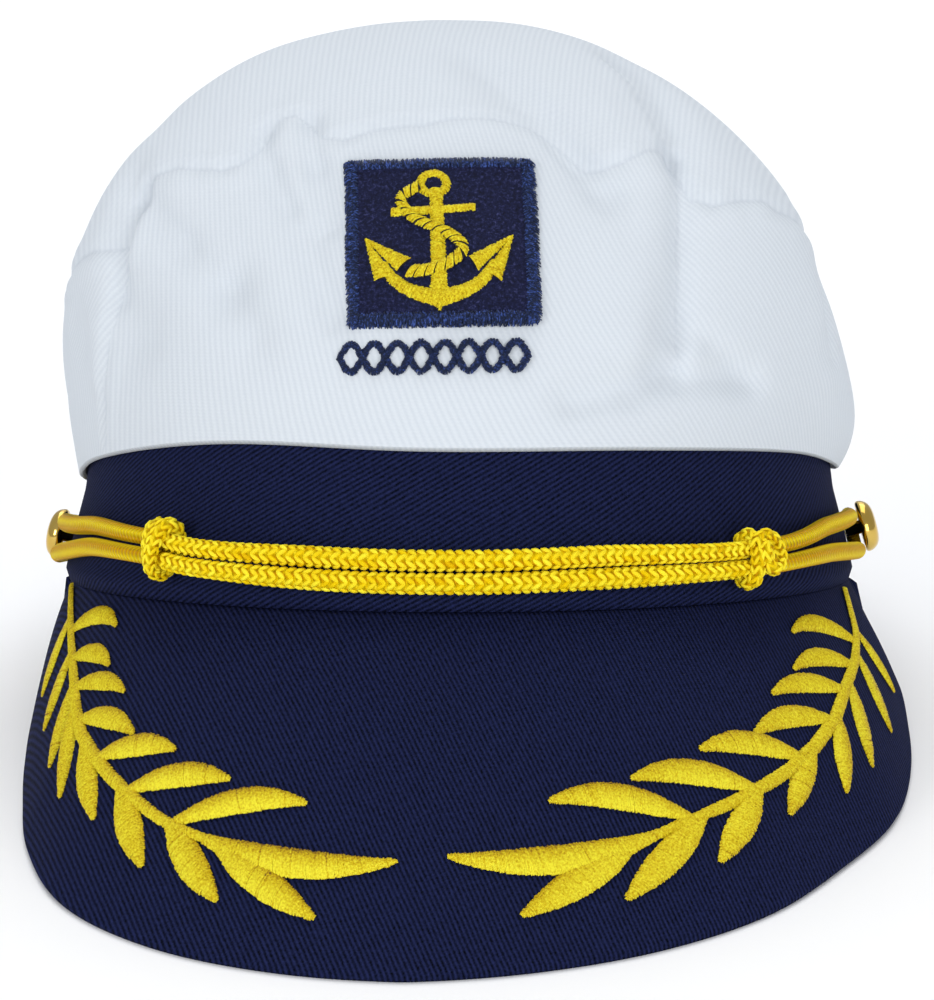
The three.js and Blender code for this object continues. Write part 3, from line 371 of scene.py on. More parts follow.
def crown_form(azimuth, share):
    """Crown's smooth form: the side rises from the hem to the seam, the top closes to the apex."""
    azimuth, share = np.broadcast_arrays(np.asarray(azimuth, float), np.asarray(share, float))
    row = {key: smooth(CROWN, key, azimuth, 360.0) for key in CROWN if key != "at"}
    plan = ring_point(azimuth, 0, 0)
    radius = np.hypot(plan[..., 0], plan[..., 1])
    hem = row["hem"] * BAND_HEIGHT
    seam = row["seam_height"] * CROWN_HEIGHT
    seam_out = row["seam_radius"] * radius
    inset = np.interp(row["hem"], BAND_PROFILE["at"], BAND_PROFILE["inset"]) * BAND_TAPER
    hem_out = radius - inset + CROWN_SEAT + CROWN_WALL
    t = np.clip(share / SEAM_SHARE, 0, 1)
    side_out = bezier(hem_out, hem_out + row["belly"] * BAND_HALF_WIDTH,
                      seam_out + row["shoulder"] * BAND_HALF_WIDTH, seam_out, t)
    side_rise = seam - hem
    side_high = bezier(hem, hem + side_rise * row["belly_at"], seam - side_rise * SHOULDER_DROP, seam, t)
    q = np.maximum(share - SEAM_SHARE, 0) / (1 - SEAM_SHARE)
    top_out = bezier(seam_out, seam_out * (1 - TOP_LEAN), seam_out * TOP_FLAT, 0, q)
    top_high = bezier(seam, seam + (CROWN_HEIGHT - seam) * TOP_RISE, CROWN_HEIGHT, CROWN_HEIGHT, q)
    on_side = share < SEAM_SHARE
    out = np.where(on_side, side_out, top_out)
    height = np.where(on_side, side_high, top_high)
    drift = ((height - hem) / (CROWN_HEIGHT - hem)) ** 2
    x = plan[..., 0] / radius * out + APEX_SIDE * BAND_HALF_WIDTH * drift
    y = plan[..., 1] / radius * out + APEX_FORWARD * BAND_HALF_LENGTH * drift
    return np.stack([x, y, height], -1)


def crown_line(places, steps):
    """Points along the crown's form through places given by azimuth and share."""
    places = np.array(places, float)
    rows = np.arange(len(places))
    at = np.linspace(0, rows[-1], steps * rows[-1] + 1)
    return crown_form(*sample(at, rows, places).T)


def nearest_on(line, points):
    """Distance of each point from a line of points, and how far along the line that is."""
    best = np.full(points.shape[:-1], np.inf)
    along = np.zeros_like(best)
    travelled = 0.0
    for start, end in zip(line[:-1], line[1:]):
        run = end - start
        length = np.linalg.norm(run)
        t = np.clip((points - start) @ run / length**2, 0, 1)
        away = np.linalg.norm(points - start - t[..., None] * run, axis=-1)
        closer = away < best
        along = np.where(closer, travelled + t * length, along)
        best = np.where(closer, away, best)
        travelled += length
    return best, along


FOLD_LINES = [(crown_line([start, end], 5), width * FOLD_WIDTH, depth * FOLD_DEPTH)
              for start, end, width, depth in FOLDS]


def fold_shift(points):
    return sum(depth * bell(nearest_on(line, points)[0], width) for line, width, depth in FOLD_LINES)


def crown_point(azimuth, share, lift, detail=None):
    """Point of the crown's outer face, lifted off it along the cloth's own normal."""
    probe = 0.02
    point = crown_form(azimuth, share)
    along = crown_form(azimuth + 1, share) - crown_form(azimuth - 1, share)
    upward = crown_form(azimuth, share + probe) - crown_form(azimuth, np.maximum(share - probe, 0))
    normal = unit(np.cross(along, upward))
    shift = fold_shift(point) * smoothstep(share, 0, 0.05)
    if detail is not None:
        shift = shift + detail(point, share)
    return point + normal * (shift + lift)[..., None]


def front_point(place, side, rise, lift):
    """Point on the crown's front, by distances sideways and upwards from a place on it."""
    azimuth, share = place
    side, rise = np.broadcast_arrays(np.asarray(side, float), np.asarray(rise, float))
    reached = np.full(rise.shape, share)
    steps = 6
    probe = 0.02
    for _ in range(steps):
        step = crown_form(azimuth, reached + probe) - crown_form(azimuth, reached)
        reached = reached + rise / steps * probe / np.linalg.norm(step, axis=-1)
    level = crown_form(azimuth, reached)[..., 2] + side * math.tan(FRONT_TURN)
    step = crown_form(azimuth + 1, reached) - crown_form(azimuth, reached)
    turned = azimuth + side / np.linalg.norm(step, axis=-1)
    for _ in range(steps):
        high = crown_form(turned, reached)[..., 2]
        climb = (crown_form(turned, reached + probe)[..., 2] - high) / probe
        reached = reached + (level - high) / climb
    return crown_point(turned, reached, lift)


def peak_point(azimuth, share, lift):
    """Point of the peak's upper face, lifted off it square to its slope."""
    azimuth, share = np.broadcast_arrays(np.asarray(azimuth, float), np.asarray(share, float))
    away = np.abs(azimuth)
    left, right = (smooth(PEAK_EDGE, side, away) for side in ("left", "right"))
    reach = np.where(azimuth < 0, left, right) * PEAK_REACH
    drop = smooth(PEAK_EDGE, "lift", away)
    rest = BAND_HALF_LENGTH * REST_SHARE

    def rest_height(out):
        return (ring_point(azimuth, out, 0)[..., 1] - rest) * math.tan(REST_TILT) * drop

    top = rim_height(azimuth) - GAP
    guess = np.arctan2(top - rest_height(reach) - CORNER_SHARE * PEAK_THICKNESS, reach + PEAK_TUCK)
    corner = reach - np.sin(guess) * PEAK_THICKNESS
    bottom = rest_height(corner) + np.cos(guess) * PEAK_THICKNESS - LAND_DEPTH
    slope = np.arctan2(top - bottom, reach + PEAK_TUCK)
    length = (reach + PEAK_TUCK) / np.cos(slope)
    swell = PEAK_BULGE * np.sin(np.pi * np.clip(share, 0, 1)) * np.minimum(length / PEAK_REACH, 1) + lift
    return ring_point(azimuth, share * (reach + PEAK_TUCK) - PEAK_TUCK + np.sin(slope) * swell,
                      top - share * (top - bottom) + np.cos(slope) * swell)


def rested(points):
    """Hat's frame turned to the way it rests, before it is centred."""
    x, y, z = points[..., 0], points[..., 1], points[..., 2]
    back = y * math.cos(REST_TILT) + z * math.sin(REST_TILT)
    high = z * math.cos(REST_TILT) - y * math.sin(REST_TILT)
    return np.stack([x, back, high + BAND_HALF_LENGTH * REST_SHARE * math.sin(REST_TILT)], -1)


band_low, band_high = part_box("band")
band_back = rested(band_point(180.0, BAND_PROFILE["at"], 0))[..., 1].max()
CENTRE = np.array([(band_low[0] + band_high[0]) / 2 * 1000, band_high[1] * 1000 - band_back, 0])


def place(points):
    """Millimetres in the hat's frame to metres in the row frame, never below the floor."""
    moved = (rested(points) + CENTRE) / 1000
    moved[..., 2] = np.maximum(moved[..., 2], 0)
    return moved


def corners(grid):
    """Values of a grid at the four corners of each of its faces."""
    around = [grid[:-1, :-1], grid[:-1, 1:], grid[1:, 1:], grid[1:, :-1]]
    return np.stack(around, -2).reshape(-1, 4, grid.shape[-1])


def put(name, data):
    """A new object with its data, in the scene."""
    made = bpy.data.objects.new(name, data)
    bpy.context.scene.collection.objects.link(made)
    return made


class Piece:
    """Collects grids of points into one mesh, with UVs in millimetres and a tint for each point."""

    def __init__(self):
        self.points, self.faces, self.uvs, self.tints = [], [], [], []
        self.count = 0

    def add(self, points, uv=None, tint=0.5, ring=False, loop=False, flip=False):
        """Grids of points with rows and columns; ring joins the last column to the first, loop the rows."""
        points = np.asarray(points, float)
        points = points.reshape((-1,) + points.shape[-3:])
        n, rows, cols = points.shape[:3]
        ids = np.arange(n * rows * cols).reshape(n, rows, cols) + self.count
        ids = np.concatenate([ids, ids[:, :, :1]], 2) if ring else ids
        ids = np.concatenate([ids, ids[:, :1]], 1) if loop else ids
        if uv is None:
            uv = np.zeros(ids.shape + (2,))
        uv = np.broadcast_to(uv, ids.shape + (2,))
        before, after = slice(None, -1), slice(1, None)
        around = [(before, before), (before, after), (after, after), (after, before)]
        around = around[::-1] if flip else around
        self.faces.append(np.stack([ids[:, r, c] for r, c in around], -1).reshape(-1, 4))
        self.uvs.append(np.stack([uv[:, r, c] for r, c in around], -2).reshape(-1, 4, 2))
        self.points.append(points.reshape(-1, 3))
        self.tints.append(np.broadcast_to(np.asarray(tint, float), (n, rows, cols)).reshape(-1))
        self.count += n * rows * cols

    def finish(self, name, slot, material, node=None):
        """Makes the mesh, which takes the place of the node given, or of the one that has its name."""
        points = place(np.concatenate(self.points))
        faces = np.concatenate(self.faces)
        mesh = bpy.data.meshes.new(name)
        mesh.vertices.add(len(points))
        mesh.vertices.foreach_set("co", points.ravel())
        mesh.loops.add(faces.size)
        mesh.loops.foreach_set("vertex_index", faces.ravel())
        mesh.polygons.add(len(faces))
        mesh.polygons.foreach_set("loop_start", np.arange(len(faces)) * 4)
        mesh.update(calc_edges=True)
        mesh.validate()
        mesh.uv_layers.new(name="UVMap").data.foreach_set("uv", np.concatenate(self.uvs).ravel())
        tint = mesh.attributes.new("tint", "FLOAT", "POINT")
        tint.data.foreach_set("value", np.concatenate(self.tints))
        mesh.polygons.foreach_set("use_smooth", np.ones(len(mesh.polygons), bool))
        mesh.materials.append(material)
        piece = put(name, mesh)
        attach(piece, "root")
        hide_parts(node or name)
        return piece


def colour(red, green, blue):
    """Linear colour from the usual 0 to 255 values."""
    share = np.array([red, green, blue]) / 255
    return (*np.where(share < 0.04045, share / 12.92, ((share + 0.055) / 1.055) ** 2.4), 1.0)


class Paint:
    """A material with short calls for its nodes."""

    def __init__(self, name, roughness, **sockets):
        self.material = bpy.data.materials.new(name)
        self.material.use_nodes = True
        self.tree = self.material.node_tree
        self.shader = self.tree.nodes["Principled BSDF"]
        self.shader.inputs["Roughness"].default_value = roughness
        for key, value in sockets.items():
            self.shader.inputs[key.replace("_", " ")].default_value = value

    def node(self, kind, **inputs):
        made = self.tree.nodes.new(kind)
        for key, value in inputs.items():
            self.feed(made, key.replace("_", " "), value)
        return made

    def feed(self, node, key, value):
        socket = node.inputs[int(key[2:])] if key in ("at0", "at1") else node.inputs[key]
        if isinstance(value, bpy.types.NodeSocket):
            self.tree.links.new(value, socket)
        else:
            socket.default_value = value

    def math(self, operation, a, b=0.0):
        made = self.node("ShaderNodeMath", at0=a, at1=b)
        made.operation = operation
        return made.outputs[0]

    def plus(self, a, b):
        return self.math("ADD", a, b)

    def times(self, a, b):
        return self.math("MULTIPLY", a, b)

    def uv(self):
        parts = self.node("ShaderNodeSeparateXYZ", Vector=self.node("ShaderNodeTexCoord").outputs["UV"])
        return parts.outputs[0], parts.outputs[1]

    def wave(self, along, pitch, shift=0.0):
        return self.math("SINE", self.plus(self.times(along, 2 * math.pi / pitch), shift))

    def noise(self, scale, detail=3.0, roughness=0.5):
        where = self.node("ShaderNodeTexCoord").outputs["Object"]
        made = self.node("ShaderNodeTexNoise", Vector=where, Scale=scale, Detail=detail, Roughness=roughness)
        return made.outputs[0]

    def ramp(self, value, stops):
        made = self.node("ShaderNodeValToRGB", Fac=value)
        made.color_ramp.elements[0].position, made.color_ramp.elements[0].color = stops[0]
        made.color_ramp.elements[1].position, made.color_ramp.elements[1].color = stops[-1]
        for position, shade in stops[1:-1]:
            made.color_ramp.elements.new(position).color = shade
        return made.outputs[0]

    def tint(self):
        made = self.node("ShaderNodeAttribute")
        made.attribute_name = "tint"
        return made.outputs["Fac"]

    def finish(self, base, height=None, depth=0.0):
        self.tree.links.new(base, self.shader.inputs["Base Color"])
        if height is not None:
            bump = self.node("ShaderNodeBump", Height=height, Distance=depth, Strength=1.0)
            self.tree.links.new(bump.outputs[0], self.shader.inputs["Normal"])
        return self.material


def twill(name, low, high, pitch, depth, cross, rib, fleck, seam=None):
    """Ribbed cloth: ribs by U, weaker crossing threads by V, a soft mottle and stitched seams by the tint."""
    paint = Paint(name, 0.85, Specular_IOR_Level=0.05)
    u, v = paint.uv()
    wobble = paint.times(paint.noise(60.0), 4.0)
    ribs = paint.wave(u, pitch, wobble)
    crossing = paint.wave(v, pitch * 0.55, paint.times(ribs, 0.9))
    weave = paint.plus(ribs, paint.times(crossing, cross))
    speck = paint.times(paint.noise(1900.0, 4.0, 0.7), fleck)
    shade = paint.plus(paint.times(weave, rib), speck)
    shade = paint.plus(shade, 0.5 - fleck / 2)
    height = paint.plus(weave, speck)
    if seam:
        stops = [(0.0, (1, 1, 1, 1)), (0.08, (0.5, 0.5, 0.5, 1)), (0.15, (0, 0, 0, 1))]
        near = paint.ramp(paint.tint(), stops)
        stitch = paint.times(near, paint.plus(paint.noise(700.0, 2.0), 0.5))
        shade = paint.math("SUBTRACT", shade, paint.times(stitch, seam))
        height = paint.math("SUBTRACT", height, paint.times(stitch, 3.0))
    base = paint.ramp(shade, [(0.1, low), (0.9, high)])
    return paint.finish(base, height, depth)


def thread(name, ground, dark, middle, bright, glint, roughness=0.5):
    """Glossy embroidery thread: each has its own tint, which also carries painted shade and painted glints,
    and a fine grain; below 0 it is the ground's colour.
    """
    tint_share, grain_share, offset = 0.75, 1.9, 0.88
    paint = Paint(name, roughness, Specular_IOR_Level=0.5, Specular_Tint=glint)
    grain = paint.noise(2400.0, 3.0, 0.75)
    tinted = paint.times(paint.tint(), tint_share)
    value = paint.plus(tinted, paint.times(grain, grain_share))
    stops = [(0.0, ground), (0.02, dark), (0.42, middle), (0.85, bright)]
    return paint.finish(paint.ramp(paint.math("SUBTRACT", value, offset), stops), grain, 0.00025)


def felt_paint():
    paint = Paint("navy_felt", 0.9, Specular_IOR_Level=0.2)
    grain = paint.noise(1500.0, 6.0, 0.75)
    stops = [(0.38, colour(9, 12, 34)), (0.55, colour(22, 27, 62)), (0.72, colour(70, 74, 122))]
    return paint.finish(paint.ramp(grain, stops), grain, 0.0003)


def cord_paint():
    """Knitted cord: stitches take their own tint; the smooth stretches have fine rings and grooves."""
    ring_pitch, groove_pitch = 1.2, 0.25
    tint_share, grain_share, rib_share = 0.8, 0.3, 0.2
    paint = Paint("gold_cord", 0.55, Specular_IOR_Level=0.08, Specular_Tint=GOLD_GLINT)
    u, v = paint.uv()
    rings = paint.wave(u, ring_pitch, paint.wave(v, groove_pitch))
    grooves = paint.wave(v, groove_pitch)
    grain = paint.noise(1300.0, 3.0, 0.6)
    ribbed = paint.plus(paint.times(rings, 0.5), grooves)
    tinted = paint.times(paint.tint(), tint_share)
    value = paint.plus(tinted, paint.times(grain, grain_share))
    value = paint.plus(value, paint.times(ribbed, rib_share))
    stops = [(0.1, colour(204, 148, 4)), (0.45, colour(234, 200, 8)), (0.9, colour(252, 238, 56))]
    return paint.finish(paint.ramp(value, stops), ribbed, 0.0004)


def metal_paint():
    paint = Paint("gold_metal", 0.14, Metallic=1.0)
    brushed = paint.noise(60.0, 2.0)
    stops = [(0.3, colour(206, 170, 80)), (0.7, colour(234, 206, 118))]
    return paint.finish(paint.ramp(brushed, stops), brushed, 0.00002)


WHITE = twill("white_cotton", colour(200, 207, 215), colour(214, 220, 226), pitch=1.2, depth=0.000018,
              cross=0.25, rib=0.22, fleck=0.6, seam=0.5)
NAVY = twill("navy_twill", colour(1, 3, 9), colour(32, 39, 79), pitch=0.97, depth=0.00006,
             cross=0.12, rib=0.25, fleck=1.2)
FELT = felt_paint()
# The navy thread's bright stop, colour(66, 92, 170), is painted glints, reached by the border's widely spread
# tints
BORDER = thread("navy_thread", colour(3, 5, 20), colour(3, 6, 26), colour(9, 17, 54), colour(66, 92, 170),
                NAVY_GLINT, roughness=0.4)
GOLD = thread("gold_thread", colour(20, 18, 40), colour(146, 96, 0), colour(212, 182, 2),
              colour(246, 236, 56), GOLD_GLINT)
CORD = cord_paint()
METAL = metal_paint()

SEAM_LINES = [crown_line(places, 4) for places in (TOP_SEAM, SIDE_SEAMS[0][:-1], *SIDE_SEAMS[1:])]
CREASE_LINES = [(crown_line([start, end], 4), width, depth) for start, end, width, depth in CREASES]


def cloth_detail(point, share):
    """Seams, their puckers and small creases of the crown, as a lift off its form."""
    lift = np.zeros(share.shape)
    for line in SEAM_LINES:
        away, along = nearest_on(line, point)
        wander = 1.8 * np.sin(along / 9.0)
        pucker = np.sin(along / SEAM_PUCKER["pitch"] + wander) * (0.6 + 0.4 * np.sin(along / 17.0))
        puckers = SEAM_PUCKER["height"] * pucker * bell(away, SEAM_PUCKER["width"])
        lift += -SEAM_GROOVE["depth"] * bell(away, SEAM_GROOVE["width"]) + puckers
        lift += SEAM_RIDGE["height"] * bell(away - SEAM_RIDGE["away"], SEAM_RIDGE["width"])
    for line, width, depth in CREASE_LINES:
        lift += depth * bell(nearest_on(line, point)[0], width)
    x, y, z = point[..., 0], point[..., 1], point[..., 2]
    ripple = np.sin(x / 11.0 + 2.1 * np.sin(z / 19.0)) * np.sin(z / 13.0 + 1.7 * np.sin(y / 15.0 + 1.0))
    broad = np.sin(x / 23.0 + 1.3 * np.sin(y / 31.0)) * np.sin(y / 27.0 + z / 35.0)
    lift += (0.3 * ripple + 0.5 * broad) * smoothstep(share, 0.02, 0.2)
    lift = np.where(lift < 0, RELIEF_LIMIT * np.tanh(lift / RELIEF_LIMIT), lift)
    return lift * smoothstep(share, 0, 0.03)


def make_crown():
    """The crown's cloth: ribs run their own way on the front, on either side and on the top."""
    columns, rows, inner_rows = 480, 170, 48
    first_share, last_share, inner_last_share = 0.004, 0.999, 0.996
    azimuth = np.linspace(-180, 180, columns + 1)
    share = np.concatenate([[0.0], np.linspace(first_share, last_share, rows - 1)])
    grid_share, grid_azimuth = np.meshgrid(share, azimuth[:-1], indexing="ij")
    outer = crown_point(grid_azimuth, grid_share, 0, cloth_detail)
    form = crown_form(grid_azimuth, grid_share)
    seam = np.min([nearest_on(line, form)[0] for line in SEAM_LINES], axis=0)
    closed = np.concatenate([outer, outer[:, :1]], 1)
    girth = np.broadcast_to(girth_at(azimuth), closed.shape[:2])
    x, y, z = closed[..., 0], closed[..., 1], closed[..., 2]
    left, right = LEFT_RIBS, RIGHT_RIBS
    ribs = {
        "front": np.stack([x + FRONT_LEAN * z + FRONT_FAN * x * (z - FAN_MIDDLE), z], -1),
        "left": np.stack([left[0] * girth + left[1] * z, left[1] * girth - left[0] * z], -1),
        "right": np.stack([right[0] * girth - right[1] * z, right[1] * girth + right[0] * z], -1),
        "top": np.stack([x * (1 - TOP_FAN * (y + FAN_MIDDLE)), y], -1),
    }
    piece = Piece()
    piece.add(outer, ribs["front"], np.clip(seam / SEAM_REACH, 0, 1), ring=True)
    spot = (grid_azimuth[:-1] + 180 / columns, (grid_share[:-1] + grid_share[1:]) / 2)
    seam_at = np.interp(spot[0], *np.array(TOP_SEAM).T)
    corner = [np.interp(spot[1], *np.array(places[::-1]).T[::-1]) for places in SIDE_SEAMS[:2]]
    tests = [spot[1] > seam_at, spot[0] > corner[0], spot[0] < corner[1]]
    panel = np.select(tests, ["top", "left", "right"], "front")
    for name in ("left", "right", "top"):
        chosen = (panel == name).ravel()
        piece.uvs[0][chosen] = corners(ribs[name])[chosen]
    inner_share = np.linspace(0.0, inner_last_share, inner_rows)
    grid_share, grid_azimuth = np.meshgrid(inner_share, azimuth[:-1:2], indexing="ij")
    inner = crown_point(grid_azimuth, grid_share, -CROWN_WALL)
    inner_uv = np.stack(np.broadcast_arrays(girth[:1, ::2], inner_share[:, None] * CROWN_HEIGHT), -1)
    piece.add(inner, inner_uv, 1, ring=True, flip=True)
    inside = crown_point(azimuth[:-1], np.zeros(columns), -CROWN_WALL)
    turned_under = np.array([0, 0, 0.7])
    hem = np.stack([outer[0], (outer[0] + inside) / 2 - turned_under, inside])
    piece.add(hem, np.stack([girth[:3], np.zeros_like(girth[:3])], -1), 1, ring=True, flip=True)
    for grid, flip in ((outer, False), (inner, True)):
        middle = grid[-1].mean(0)
        piece.add(np.stack([grid[-1], middle + 1e-4 * (grid[-1] - middle)]), None, 1, ring=True, flip=flip)
    return piece.finish("crown", "white_cotton", WHITE)


def make_band():
    columns, rows = 360, 30
    azimuth = np.linspace(-180, 180, columns + 1)
    share = np.linspace(HEM_START, 1, rows)
    hem = HEM_ROLL["height"] * bell(share - HEM_ROLL["at"], HEM_ROLL["width"])
    hem = hem - HEM_GROOVE["depth"] * bell(share - HEM_GROOVE["at"], HEM_GROOVE["width"])
    outer = band_point(azimuth[None, :-1], share[:, None], hem[:, None])
    inner = band_point(azimuth[None, :-1], share[::-1, None], -BAND_WALL)
    tube = np.concatenate([outer, inner])
    girth = girth_at(azimuth)
    high = np.concatenate([share, 1 + share, [2.1]]) * BAND_HEIGHT
    rib = high[:, None] * math.cos(BAND_LEAN) - girth[None, :] * math.sin(BAND_LEAN)
    cross = high[:, None] * math.sin(BAND_LEAN) + girth[None, :] * math.cos(BAND_LEAN)
    piece = Piece()
    piece.add(tube, np.stack([rib, cross], -1), ring=True, loop=True)
    return piece.finish("band", "navy_twill", NAVY)


def make_peak():
    columns, rows, edge_rows = 240, 60, 5
    azimuth = np.linspace(-PEAK_END, PEAK_END, columns)
    share = np.linspace(0, 1, rows)
    turn = np.linspace(0, math.pi, edge_rows + 2)[1:-1]
    edge_swell = 0.012
    shares = np.concatenate([share, 1 + edge_swell * np.sin(turn), share[::-1]])
    edge_lift = -PEAK_THICKNESS * (1 - np.cos(turn)) / 2
    lifts = np.concatenate([np.zeros(rows), edge_lift, np.full(rows, -PEAK_THICKNESS)])
    section = peak_point(azimuth[None, :], shares[:, None], lifts[:, None])
    slope = -0.8 * section[..., 1] - 0.6 * section[..., 2]
    uv = np.stack([section[..., 0] - PEAK_LEAN * slope, slope + PEAK_LEAN * section[..., 0]], -1)
    uv = np.concatenate([uv, uv[:1]], 0)
    piece = Piece()
    piece.add(section, uv, loop=True, flip=True)
    rims = np.arange(section.shape[0] * columns).reshape(section.shape[0], columns)
    for column, way in ((0, 1), (-1, -1)):
        top = rims[:rows, column]
        under = rims[-rows:, column][::-1]
        quads = np.stack([top[:-1], top[1:], under[1:], under[:-1]], -1)[:, ::way]
        piece.faces.append(quads)
        piece.uvs.append(np.zeros((len(quads), 4, 2)))
    return piece.finish("peak", "navy_twill", NAVY)


def strands(starts, ends, normals, heights, width, stations=7):
    """Arched threads from start points to end points, each three points across."""
    fullness = 0.3
    t = np.linspace(0, 1, stations)[None, :, None]
    run = ends - starts
    arch = np.sqrt(np.clip(1 - (2 * t - 1) ** 2, 0, 1))
    spine = starts[:, None] + run[:, None] * t + normals[:, None] * heights[:, None, None] * arch
    side = unit(np.cross(normals, run))[:, None] * width / 2
    up = normals[:, None] * width * fullness
    return np.stack([spine - side - up, spine + up, spine + side - up], 2)


def thread_places(line, pitch, shake):
    """How far along a line its points are, and the shaken distances at which threads cross it."""
    travelled = travel(line)
    count = max(int(travelled[-1] / pitch), 3)
    return travelled, np.linspace(0, travelled[-1], count) + rng.uniform(-shake, shake, count)


def thread_ends(centre, side, along, half, slant, ragged):
    """Both ends of each thread laid across a line, slanted and a little ragged."""
    ragged = rng.uniform(*ragged, (2, len(half)))
    lean = along * (half * slant)[:, None]
    low = centre - side * (half + ragged[0])[:, None] - lean
    high = centre + side * (half + ragged[1])[:, None] + lean
    return low, high


def lay_satin(piece, places, halves, height, slant):
    """Satin stitch on the peak: threads across a line of places, over a bed that hides the cloth."""
    shake, overlap, gap_shade_share, gap_shade_dark, painted_shade = 0.06, 1.4, 0.02, 0.3, 0.75
    bed_share, bed_sunk, bed_shade_tint = 0.8, 0.12, 0.25
    centre = peak_point(*places.T, GAP)
    normal = unit(peak_point(*places.T, GAP + 1) - centre)
    along = unit(np.gradient(centre, axis=0))
    travelled, at = thread_places(centre, LAUREL_PITCH, shake)
    centre, normal, along = (sample(at, travelled, line) for line in (centre, normal, along))
    half = np.interp(at, travelled, halves)
    low, high = thread_ends(centre, unit(np.cross(along, normal)), along, half, slant, LAUREL_RAGGED)
    tall = height * np.minimum(half / (LEAF_WIDTH / 2), 1) ** 0.6
    threads = strands(low, high, normal, tall, LAUREL_PITCH * overlap)
    # Painted shade: each thread darkens towards the back of the hat, so the upper side of every leaf and of
    # the stem is darker
    behind = (threads[..., 1] - centre[:, None, None, 1]) / (LEAF_WIDTH / 2)
    # Painted shade: a few threads, picked at random, are darkened to stand for shaded gaps between the
    # threads
    gap_shade = np.where(rng.random(len(at)) < gap_shade_share, gap_shade_dark, 0)
    tint = rng.normal(0.5, 0.06, len(at)) - gap_shade
    piece.add(threads, tint=np.clip(tint[:, None, None] - painted_shade * behind, 0, 1))
    # Painted shade: the bed, seen only in the gaps between threads, takes a darker tint than they do
    bed = strands(low, high, normal, tall * bed_share, LAUREL_PITCH)[:, :, 1] - normal[:, None] * bed_sunk
    piece.add(bed, tint=bed_shade_tint)


def make_laurel(name):
    """Satin-stitched spray: short threads laid across the stem and across each leaf."""
    piece = Piece()
    stem = np.array(LAURELS[name]["stem"])
    rows = np.arange(len(stem))
    finely = sample(np.linspace(0, rows[-1], 200), rows, stem)
    finely_at = peak_point(*finely.T, GAP)
    at = np.linspace(0, rows[-1], 60)
    half = STEM_WIDTH / 2 * mix(0.6, 1.0, np.sin(np.pi * at / at[-1]))
    lay_satin(piece, sample(at, rows, stem), half, LEAF_HEIGHT * 1.1, 0.5)
    for base, tip, width, bend in LAURELS[name]["leaves"]:
        root = finely[np.linalg.norm(finely_at - peak_point(*base, GAP), axis=1).argmin()]
        run = np.array(tip) - root
        at = np.linspace(0, 1, 40)
        bow = bend * 4 * at * (1 - at) * abs(run[0]) / BEND_SPAN
        places = np.stack([root[0] + run[0] * at, root[1] + run[1] * at - bow], -1)
        blunt = np.sqrt(np.clip((1.01 - at) / 0.04, 0, 1))
        half = LEAF_WIDTH / 2 * width * smooth(LEAF_OUTLINE, "width", at) * blunt
        lay_satin(piece, places, half, LEAF_HEIGHT, 0.2)
    return piece.finish(name, "gold_thread", GOLD)


def on_front(place_at, flat):
    """Flat points, sideways, upwards and off the cloth, laid on the crown's front."""
    return front_point(place_at, flat[..., 0], flat[..., 1], flat[..., 2])


def make_patch():
    """Felt ground, turned down to the crown at its edges."""
    steps, trim, turned_down, under = 70, 0.985, 0.9, 0.4
    share = np.linspace(-1, 1, steps)
    v, u = np.meshgrid(share, share, indexing="ij")
    edge = np.maximum(np.abs(u), np.abs(v))
    lift = GAP + PATCH_THICKNESS * (1 - smoothstep(edge, trim, 1.0) * turned_down)
    flat = np.stack([u * BADGE_WIDTH / 2 * trim, v * BADGE_HEIGHT / 2 * trim, lift], -1)
    piece = Piece()
    uv = flat[..., :2]
    piece.add(on_front(BADGE_PLACE, flat), uv)
    flat[..., 2] = GAP * under
    piece.add(on_front(BADGE_PLACE, flat), uv, flip=True)
    return piece.finish("badge_patch", "navy_felt", FELT)


def border_threads(layer):
    """One layer of threads along the patch's upper edge, flat and square to it, with ragged ends."""
    half = BADGE_WIDTH / 2
    width = (1 - BORDER_SHARE) * BADGE_WIDTH / 2 + 0.1
    count = int(2 * half / BORDER_PITCH)
    corner, corner_share, sunk, vary = 0.5, 0.6, 0.1, BORDER_VARY
    along = np.linspace(-half + corner, half - corner, count)
    along = along + rng.uniform(-vary["along"], vary["along"], count)
    outside = half + rng.uniform(*vary["outer"], count)
    inside = half - width + rng.uniform(*vary["inner"], count)
    skew = rng.uniform(-vary["skew"], vary["skew"], count)
    starts = np.stack([along + skew, outside, np.full(count, GAP)], -1)
    ends = np.stack([along - skew, inside, np.full(count, GAP + PATCH_THICKNESS - sunk)], -1)
    tall = BORDER_RISE * 0.4 + PATCH_THICKNESS * 0.5 + rng.uniform(*vary["tall"], count)
    tall = tall + BORDER_LAYER_RISE * layer
    tall = tall * np.minimum(1, corner_share + (half - np.abs(along)) / width)
    return strands(starts, ends, FLAT_UP, tall, BORDER_PITCH * 1.3, 6)


def make_border():
    """Merrowed border: fine threads laid in layers along each edge of the patch."""
    piece = Piece()
    for quarter in range(4):
        turn = quarter * math.pi / 2
        for layer in range(BORDER_LAYERS):
            flat = border_threads(layer)
            x = flat[..., 0] * math.cos(turn) - flat[..., 1] * math.sin(turn)
            y = flat[..., 0] * math.sin(turn) + flat[..., 1] * math.cos(turn)
            flat = np.stack([x, y * BADGE_HEIGHT / BADGE_WIDTH, flat[..., 2]], -1)
            # Painted glints: the wide spread of tints lifts some threads to the navy thread's bright blue
            # stop
            tint = np.clip(rng.normal(0.42, 0.3, (*flat.shape[:2], 1)), 0, 1)
            piece.add(on_front(BADGE_PLACE, flat), tint=tint)
    return piece.finish("badge_border", "navy_thread", BORDER, "badge_patch")


def curve_through(path, count):
    """Smooth line through a few flat points."""
    path = np.array(path, float)
    rows = {"at": np.arange(len(path), dtype=float), "x": path[:, 0], "y": path[:, 1]}
    at = np.linspace(0, len(path) - 1, count)
    return np.stack([smooth(rows, "x", at), smooth(rows, "y", at)], -1)


